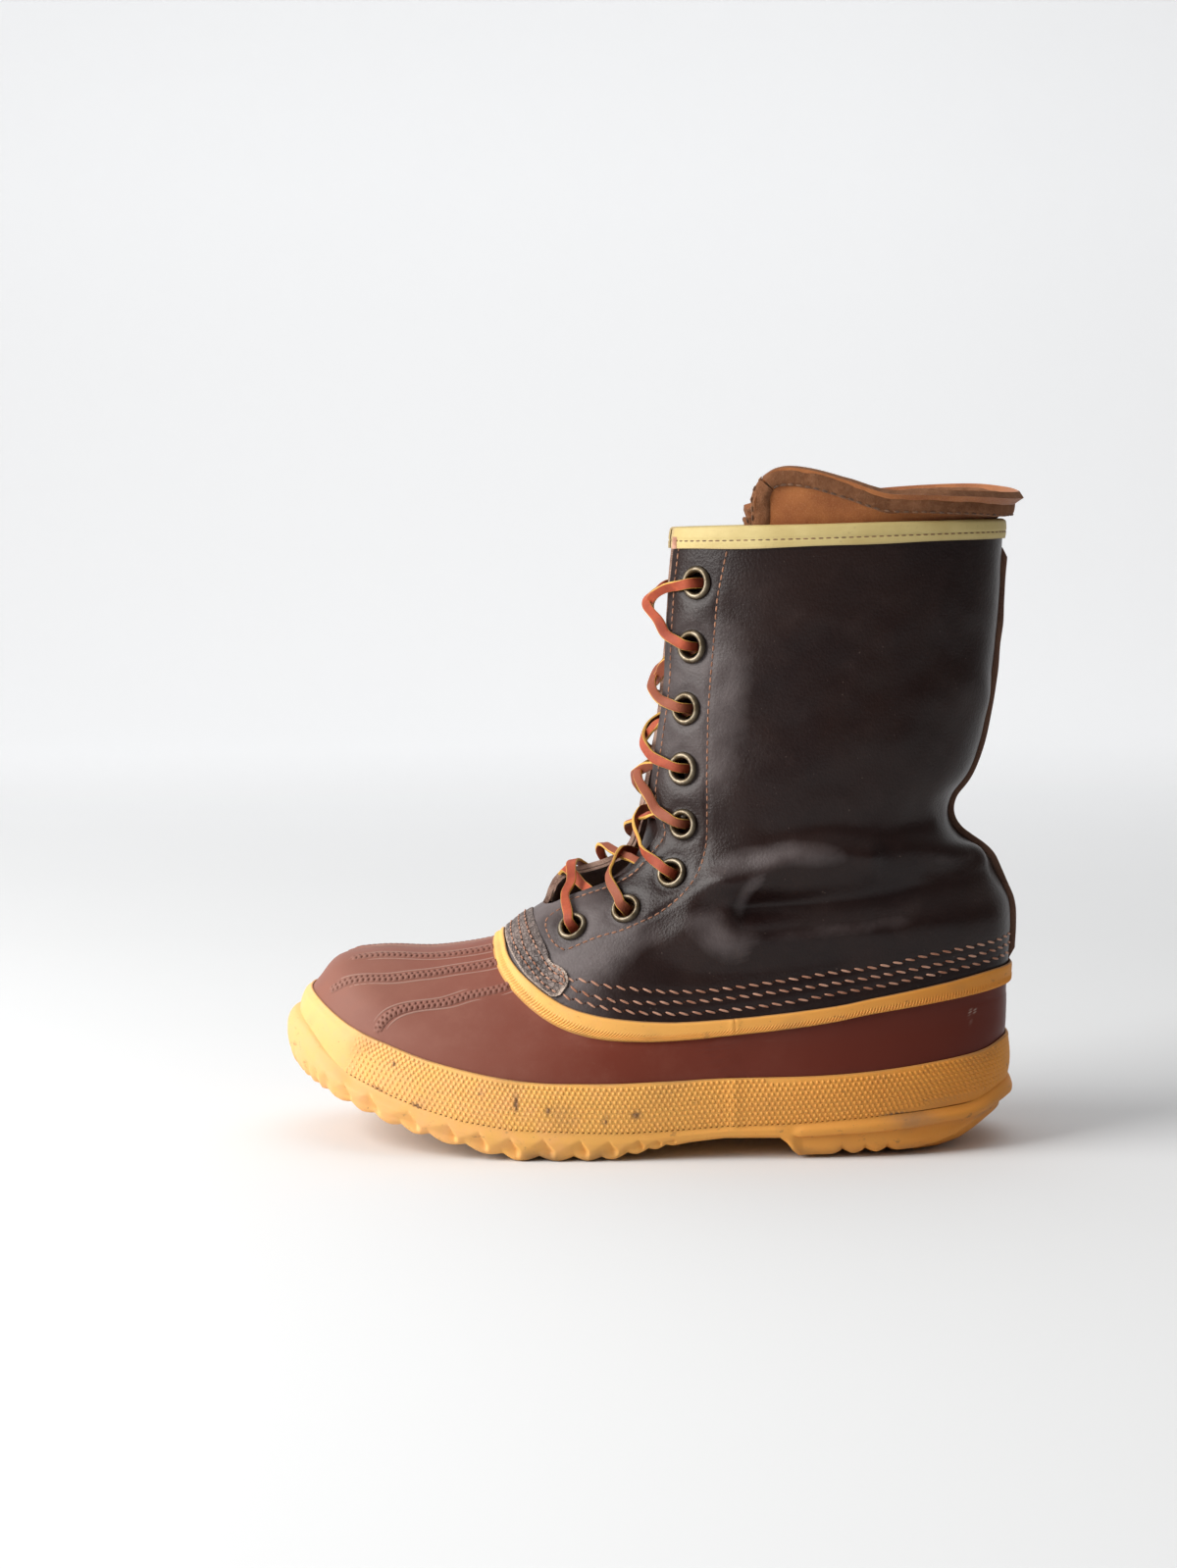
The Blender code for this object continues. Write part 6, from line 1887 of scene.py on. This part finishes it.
def lace_strand(number, side):
    """From this side's lower eyelet, over the gap, to the other side's upper one."""
    low, high = EYELETS[number], EYELETS[number - 1]
    rise_outer, rise_inner, middle, roll = CROSSINGS[number - 1]
    rise = rise_outer if side > 0 else rise_inner
    start, end = low[0], 2 - high[0]
    centre = skin_point(1.0, (low[1] + high[1]) / 2)
    near_edge, far_edge = float(edge_turn(low[1], side)), float(edge_turn(high[1], -side))
    half_span = float(np.linalg.norm(skin_point(start, low[1]) - centre))
    far_span = float(np.linalg.norm(skin_point(end, high[1]) - centre))
    curl = float(flap_lift(np.array(-side * far_edge), np.array(high[1]))) / MM
    near_curl = float(flap_lift(np.array(side * near_edge), np.array(low[1]))) / MM
    reach = half_span + far_span
    leave = (near_edge - start) / (1 - start) * half_span
    meet = reach - (far_edge - high[0]) / (1 - high[0]) * far_span
    rows = [  # how far along in metres, how far off the skin in mm
        (0.0, -5.2), (0.4 * MM, -2.6), (1.0 * MM, 0.2), (2.5 * MM, 1.9), (5.0 * MM, 2.6),
        (max(7.6 * MM, leave - 2.0 * MM), 3.0 + near_curl), (max(leave + 1.0 * MM, 10.2 * MM), 3.4 + near_curl),
        (half_span + 1.5 * MM, rise),
    ]
    if number == 1 or (number == OVER_FLAP and side > 0):
        rows += [
            (meet - 1.5 * MM, 3.2 + curl), (meet + 1.5 * MM, 2.6 + 0.8 * curl), (reach - 5.0 * MM, 3.0),
            (reach - 2.5 * MM, 2.2), (reach - 1.0 * MM, 0.2), (reach - 0.4 * MM, -2.6), (reach, -5.6),
        ]
    else:
        rows += [
            (meet - 3.0 * MM, min(rise, 2.0) * 0.3 - 0.8), (meet - 0.5 * MM, -2.4), (meet + 2.5 * MM, -3.4),
            (reach - 3.6 * MM, -4.0), (reach, -5.2),
        ]
    fine = smooth_curve(np.array(sorted(rows)), 160)
    share = share_of(fine[:, 0] / reach)
    turn = start + (end - start) * share
    halfway = half_span / reach
    early = middle * (share / halfway) ** 1.5
    late = middle + (1 - middle) * share_of((share - halfway) / (1 - halfway)) ** 0.9
    kernel = np.hanning(41) / np.hanning(41).sum()
    climb = np.convolve(np.pad(np.where(share < halfway, early, late), 20, mode="edge"), kernel, mode="valid")
    v = low[1] + (high[1] - low[1]) * climb
    turn = side * np.where(turn > 1, turn - 2, turn)
    points = skin(turn, v, fine[:, 1] * MM)
    twist = side * roll * ease(share, 0.02, 0.25) * (1 - ease(share, 0.8, 1.0))
    if (number, side) in TWISTED:
        twist = twist + pi * ease(share, 0.66, 0.93)
    return points, unit(np.cross(skin_normal(turn, v), unit(np.gradient(points, axis=0)))), twist


def hidden_stretch():
    """The stretch between the two lowest eyelets, behind the leather."""
    turn0, v0 = EYELETS[7]
    turns = np.linspace(2 - turn0, turn0, 40)
    sag = np.sin(pi * np.linspace(0, 1, 40))
    v = v0 + 0.10 * sag
    points = skin(turns, v, -(5.4 + 0.8 * sag) * MM)
    return points, unit(np.cross(skin_normal(turns, v), unit(np.gradient(points, axis=0)))), np.zeros(40)


# ---------------------------------------------------------------- stitches

SEWN = {  # length, width and height of one stitch or hole in mm, its finish, its slot
    "strip_stitches": (4.2, 0.95, 0.85, pale_thread, "raw_leather"),
    "patch_rows": (2.1, 0.72, 0.60, pale_thread, "raw_leather"),
    "patch_needle_holes": (0.8, 0.7, 0.25, dark_hole, "raw_leather"),
    "strip_needle_holes": (1.15, 0.9, 0.35, dark_hole, "oiled_leather"),
    "facing_stitches": (2.3, 0.80, 0.72, tan_thread, "raw_leather"),
    "facing_needle_holes": (0.85, 0.75, 0.3, dark_hole, "oiled_leather"),
    "binding_stitches": (2.1, 0.6, 0.55, brown_thread, "raw_leather"),
    "binding_tacks": (3.6, 0.66, 0.7, pale_thread, "raw_leather"),
    "patch_stitches": (1.9, 0.7, 0.6, pale_thread, "raw_leather"),
    "liner_hem_stitches": (2.4, 0.7, 0.6, brown_thread, "felt"),
}
HEAVY_SLANT = radians(19)
TAB_STITCH_LINE = ((0.716, 7.36), (0.724, 7.44), (0.736, 7.50), (0.750, 7.51), (0.764, 7.50))


def sew(name, spots):
    """One mesh of a line's stitches: capsules along X, their lower halves let into the surface."""
    *size, finish, slot = SEWN[name]
    deselect()
    bpy.ops.mesh.primitive_uv_sphere_add(segments=8, ring_count=6, radius=1.0, rotation=(0, pi / 2, 0))
    capsule = bpy.context.object
    bpy.ops.object.transform_apply(rotation=True)
    flat = points_of(capsule)
    flat[:, 0] = blunt(flat[:, 0], 0.72)
    flat *= [part * MM / 2 for part in size]
    capsule.data.vertices.foreach_set("co", flat.ravel())
    origin, along, across, up = (np.concatenate([spot[i] for spot in spots]) for i in range(4))
    handed = np.sign(np.sum(np.cross(along, across) * up, axis=-1))[:, None]
    settle(strew(name, capsule.data, (origin, along, across * handed, up), finish()), slot)
    bpy.data.objects.remove(capsule)


def stitches_at(turn, v, out):
    """Places and axes of stitches that follow one line on the plain surface."""
    centre, normal = skin(turn, v, out), skin_normal(turn, v)
    along = unit(np.gradient(centre, axis=0))
    return centre, along, unit(np.cross(normal, along)), normal


def stitches_on_leather(line, side, pitch, lift, slant=0.0, start=0.5):
    """Places and axes of stitches along a line on the worn leather, slanted from the line."""
    rows = even_row(line, pitch, pitch * start)
    turn, v = side * rows[:, 0], rows[:, 1]
    centre = leather_place(turn, v)
    along = unit(np.gradient(centre, axis=0))
    normal = skin_normal(turn, v)
    up = unit(np.cross(normal, along))
    up *= np.where(up[:, 2:] < 0, -1, 1)
    tilted = unit(along * np.cos(slant) + up * np.sin(slant) * np.sign(along[:, :1] * side + 1e-9))
    return centre + normal * lift, tilted, unit(np.cross(normal, tilted)), normal


def on_patch(rows):
    return (rows[:, 0] > PATCH_END + 0.003) & (rows[:, 1] < np.interp(rows[:, 0], *np.array(PATCH_TOP).T))


def sew_strip_rows():
    """The three heavy rows above the strip, finer and closer where they cross the patch."""
    spots, holes, small, small_holes = [], [], [], []
    pitch, close = boot().strip_stitch, boot().patch_stitch
    for line in STRIP_STITCHES:
        for side in (1, -1):
            for bucket, start, lift in ((spots, 0.5, 0.20), (holes, 0.0, -0.05)):
                found = stitches_on_leather(line, side, pitch, lift * MM, HEAVY_SLANT, start)
                bare = ~on_patch(even_row(line, pitch, pitch * start))
                bucket.append([part[bare] for part in found])
            rows = even_row(line, close, 0.5 * close)
            rows = rows[on_patch(rows)]
            count = np.arange(len(rows))
            for bucket, shift in ((small, 0.0), (small_holes, 0.5)):
                turn, v = (np.interp(count + shift, count, rows[:, i]) for i in range(2))
                bucket.append(stitches_at(side * turn, v, 1.30 * MM))
    sew("strip_stitches", spots)
    sew("patch_rows", small)
    sew("patch_needle_holes", small_holes)
    sew("strip_needle_holes", holes)


def sew_facing_rows():
    spots, holes = [], []
    for side in (1, -1):
        for line in (FACING_STITCH, FACING_CORNER, inner_edge_line()):
            spots.append(stitches_on_leather(line, side, boot().fine_stitch, 0.02 * MM))
            holes.append(stitches_on_leather(line, side, boot().fine_stitch, -0.10 * MM, start=1.0))
    sew("facing_stitches", spots)
    sew("facing_needle_holes", holes)


def sew_binding():
    """The binding's line of stitches, and the tacks across its two ends."""
    spots, tacks = [], []
    for side in (1, -1):
        end = float(edge_turn(TOP, side)) - 0.012
        line = [(t, float(collar_drop(BINDING_SEAM * binding_share(t)))) for t in np.linspace(0.0, end, 20)]
        rows = even_row(line, 3.0 * MM, 1.5 * MM)
        turn = side * rows[:, 0]
        centre = skin(turn, rows[:, 1], GAP + BINDING_WALL + 0.05 * MM)
        spots.append((centre, *surface_axes(turn + 1e-6, rows[:, 1])))
        for k in range(9):
            turn = np.array([side * end])
            v = np.array([float(collar_drop((3.4 + 0.72 * k) * 0.79 * MM))])
            tacks.append((skin(turn, v, GAP + 0.95 * MM), *surface_axes(turn, v)))
    sew("binding_stitches", spots)
    sew("binding_tacks", tacks)


def make_stitches():
    sew_strip_rows()
    sew_facing_rows()
    sew_binding()
    tabs = []
    for side in (1, -1):
        rows = even_row(TAB_STITCH_LINE, 2.6 * MM, 1.0 * MM)
        tabs.append(stitches_at(side * rows[:, 0], rows[:, 1], 1.36 * MM))
    sew("patch_stitches", tabs)


# ---------------------------------------------------------------- the stage

SWEEP_BEND = 1.9
LIGHTS = (  # name, place, target, size both ways, power, colour
    ("key_window", (1.36, 0.52, 0.84), (0.02, 0.0, 0.10), 1.15, 38.5, (1.0, 0.985, 0.96)),
    ("top_soft", (-0.2, -0.3, 1.7), (0.0, -0.1, 0.0), 1.8, 7.0, (1.0, 1.0, 1.0)),
)
ROOM_COLOUR = (1.0, 0.975, 0.95, 1.0)
ROOM_LIGHT = 0.262
ROOM_TILT = (0.16, -0.16, 0.26)


def make_stage():
    lay_sweep()
    stand_drum()
    scene = bpy.context.scene
    world = bpy.data.worlds.new("soft_room")
    world.use_nodes = True
    dim_room(world)
    scene.world = world
    for light in LIGHTS:
        hang_light(*light)
    data = bpy.data.cameras.new("view_camera")
    data.lens = 63.04
    data.sensor_width = 36.0
    camera = bpy.data.objects.new("view_camera", data)
    camera.location = (0.0252, 1.138, 0.2608)
    camera.rotation_euler = (radians(84.30), 0.0, radians(180.0))
    scene.collection.objects.link(camera)
    scene.camera = camera
    scene.view_settings.view_transform = "Standard"


def lay_sweep():
    """A paper floor that bends up into a wall behind the boot."""
    run = np.concatenate([
        np.linspace(-4.2, -1.1, 9)[:-1], np.linspace(-1.1, SWEEP_BEND, 12),
        SWEEP_BEND + np.linspace(0.1, 1.0, 12) * 1.1, np.linspace(3.1, 6.0, 6)])
    bend = share_of((run - SWEEP_BEND) / 1.1) * pi / 2
    back = -np.where(run < SWEEP_BEND, run, SWEEP_BEND + 0.7 * np.sin(bend))
    rise = -0.0004 + 0.7 * (1 - np.cos(bend)) + np.clip(run - 3.0, 0, None)
    across = np.linspace(4.0, -4.0, 41)
    sweep = np.stack(np.broadcast_arrays(across[None], back[:, None], rise[:, None]), axis=-1)
    # Painted light: how strongly the paper glows, up the back wall and on the floor towards and behind the
    # camera, a little more towards +X.
    far = ease(run, 0.2, 2.2) + 0.7 * (1 - ease(run, -2.4, -0.8))
    far = far[:, None] * (1.05 + 0.10 * np.tanh(across / 0.6))
    floor = lay("paper_sweep", sweep, [studio_paper()], far=far)
    shade(floor, 60)


def dim_room(world):
    """Soft light from above, the toe's side and behind the boot, and little from in front."""
    tree = world.node_tree
    parts = tree.nodes.new("ShaderNodeSeparateXYZ")
    tree.links.new(tree.nodes.new("ShaderNodeTexCoord").outputs["Generated"], parts.inputs[0])
    total = None
    for axis, weight in enumerate(ROOM_TILT):
        share = tree.nodes.new("ShaderNodeMath")
        share.operation = "MULTIPLY_ADD"
        share.inputs[1].default_value = weight
        share.inputs[2].default_value = ROOM_LIGHT
        tree.links.new(parts.outputs[axis], share.inputs[0])
        if total is not None:
            tree.links.new(total, share.inputs[2])
        total = share.outputs[0]
    background = tree.nodes["Background"]
    background.inputs["Color"].default_value = ROOM_COLOUR
    tree.links.new(total, background.inputs["Strength"])


def stand_drum():
    """A pale drum that only the camera sees, behind whatever the sweep leaves open."""
    deselect()
    bpy.ops.mesh.primitive_cylinder_add(vertices=64, radius=4.6, depth=12.0)
    drum = bpy.context.object
    drum.name = "pale_surround"
    drum.data.materials.append(pale_surround())
    for kind in ("diffuse", "glossy", "transmission", "volume_scatter", "shadow"):
        setattr(drum, f"visible_{kind}", False)
    shade(drum, 60)


def hang_light(name, place, target, size, power, colour):
    data = bpy.data.lights.new(name, "AREA")
    data.size, data.energy, data.color = size, power, colour
    lamp = bpy.data.objects.new(name, data)
    lamp.location = place
    lamp.rotation_euler = (Vector(target) - Vector(place)).to_track_quat("-Z", "Y").to_euler()
    bpy.context.scene.collection.objects.link(lamp)


# ---------------------------------------------------------------- operators and panel

class BootOperator:
    """What every operator here shares."""

    bl_options = {"REGISTER", "UNDO"}


class PACBOOT_OT_outsole(BootOperator, bpy.types.Operator):
    """The gum sole: scooped lugs round its edge, wavy cross ribs, arch and heel block"""

    bl_idname = "pacboot.outsole"
    bl_label = "Outsole"

    def execute(self, context):
        make_outsole()
        return {"FINISHED"}


class PACBOOT_OT_rubber_shell(BootOperator, bpy.types.Operator):
    """The rubber bottom, its side seams, and the knurled ridges over its toe"""

    bl_idname = "pacboot.rubber_shell"
    bl_label = "Rubber Shell"

    def execute(self, context):
        make_rubber_shell()
        return {"FINISHED"}


class PACBOOT_OT_foxing(BootOperator, bpy.types.Operator):
    """The dotted side band, which swells into a smooth bumper round the toe"""

    bl_idname = "pacboot.foxing"
    bl_label = "Foxing and Bumper"

    def execute(self, context):
        make_foxing()
        return {"FINISHED"}


class PACBOOT_OT_top_strip(BootOperator, bpy.types.Operator):
    """The gum strip over the join of rubber and leather, finely ribbed below"""

    bl_idname = "pacboot.top_strip"
    bl_label = "Top Strip"

    def execute(self, context):
        make_top_strip()
        return {"FINISHED"}


class PACBOOT_OT_leather_shaft(BootOperator, bpy.types.Operator):
    """The leather upper: creased round the ankle, open in front, holed for the eyelets"""

    bl_idname = "pacboot.leather_shaft"
    bl_label = "Leather Shaft"

    def execute(self, context):
        make_leather_shaft()
        return {"FINISHED"}


class PACBOOT_OT_vamp_patch(BootOperator, bpy.types.Operator):
    """The grey patch that crosses the vamp's top, with a rounded tab at each end"""

    bl_idname = "pacboot.vamp_patch"
    bl_label = "Vamp Patch"

    def execute(self, context):
        make_vamp_patch()
        return {"FINISHED"}


class PACBOOT_OT_back_seam(BootOperator, bpy.types.Operator):
    """The raw two-layer seam that stands out down the back"""

    bl_idname = "pacboot.back_seam"
    bl_label = "Back Seam"

    def execute(self, context):
        make_back_seam()
        return {"FINISHED"}


class PACBOOT_OT_collar_binding(BootOperator, bpy.types.Operator):
    """The cream strip folded over the collar's edge, with its line of stitches"""

    bl_idname = "pacboot.collar_binding"
    bl_label = "Collar Binding"

    def execute(self, context):
        make_collar_binding()
        return {"FINISHED"}


class PACBOOT_OT_tongue(BootOperator, bpy.types.Operator):
    """The leather tongue behind the throat"""

    bl_idname = "pacboot.tongue"
    bl_label = "Tongue"

    def execute(self, context):
        make_tongue()
        return {"FINISHED"}


class PACBOOT_OT_liner(BootOperator, bpy.types.Operator):
    """The felt boot inside, its cuff, and the rolled hem round the cuff's edge"""

    bl_idname = "pacboot.liner"
    bl_label = "Felt Liner"

    def execute(self, context):
        make_liner()
        return {"FINISHED"}


class PACBOOT_OT_eyelets(BootOperator, bpy.types.Operator):
    """Sixteen rolled brass eyelets, eight to a side"""

    bl_idname = "pacboot.eyelets"
    bl_label = "Eyelets"

    def execute(self, context):
        make_eyelets()
        return {"FINISHED"}


class PACBOOT_OT_lace(BootOperator, bpy.types.Operator):
    """One hide lace, crossed from the lowest eyelets up to the top pair"""

    bl_idname = "pacboot.lace"
    bl_label = "Lace"

    def execute(self, context):
        make_lace()
        return {"FINISHED"}


class PACBOOT_OT_stitches(BootOperator, bpy.types.Operator):
    """Every line of thread that shows, with needle holes between the heavy stitches"""

    bl_idname = "pacboot.stitches"
    bl_label = "Stitches"

    def execute(self, context):
        make_stitches()
        return {"FINISHED"}


class PACBOOT_OT_stage(BootOperator, bpy.types.Operator):
    """Pale paper floor and wall, soft lights and the camera"""

    bl_idname = "pacboot.stage"
    bl_label = "Stage"

    def execute(self, context):
        make_stage()
        return {"FINISHED"}


PIECE_OPERATORS = BootOperator.__subclasses__()


class PACBOOT_PT_panel(bpy.types.Panel):
    """The boot's sizes and colours, and a button for each group of pieces"""

    bl_idname = "PACBOOT_PT_panel"
    bl_label = "Pac Boot"
    bl_space_type = "VIEW_3D"
    bl_region_type = "UI"
    bl_category = "Pac Boot"

    def draw(self, context):
        column = self.layout.column(align=True)
        for name in PacBootSettings.__annotations__:
            column.prop(context.scene.pac_boot, name)
        for operator in PIECE_OPERATORS:
            column.operator(operator.bl_idname)


def register():
    for made in (PacBootSettings, *PIECE_OPERATORS, PACBOOT_PT_panel):
        bpy.utils.register_class(made)
    bpy.types.Scene.pac_boot = PointerProperty(type=PacBootSettings)


def unregister():
    del bpy.types.Scene.pac_boot
    for made in reversed((PacBootSettings, *PIECE_OPERATORS, PACBOOT_PT_panel)):
        bpy.utils.unregister_class(made)


def main():
    register()
    for operator in PIECE_OPERATORS:
        group, name = operator.bl_idname.split(".")
        getattr(getattr(bpy.ops, group), name)()


if __name__ == "__main__":
    main()
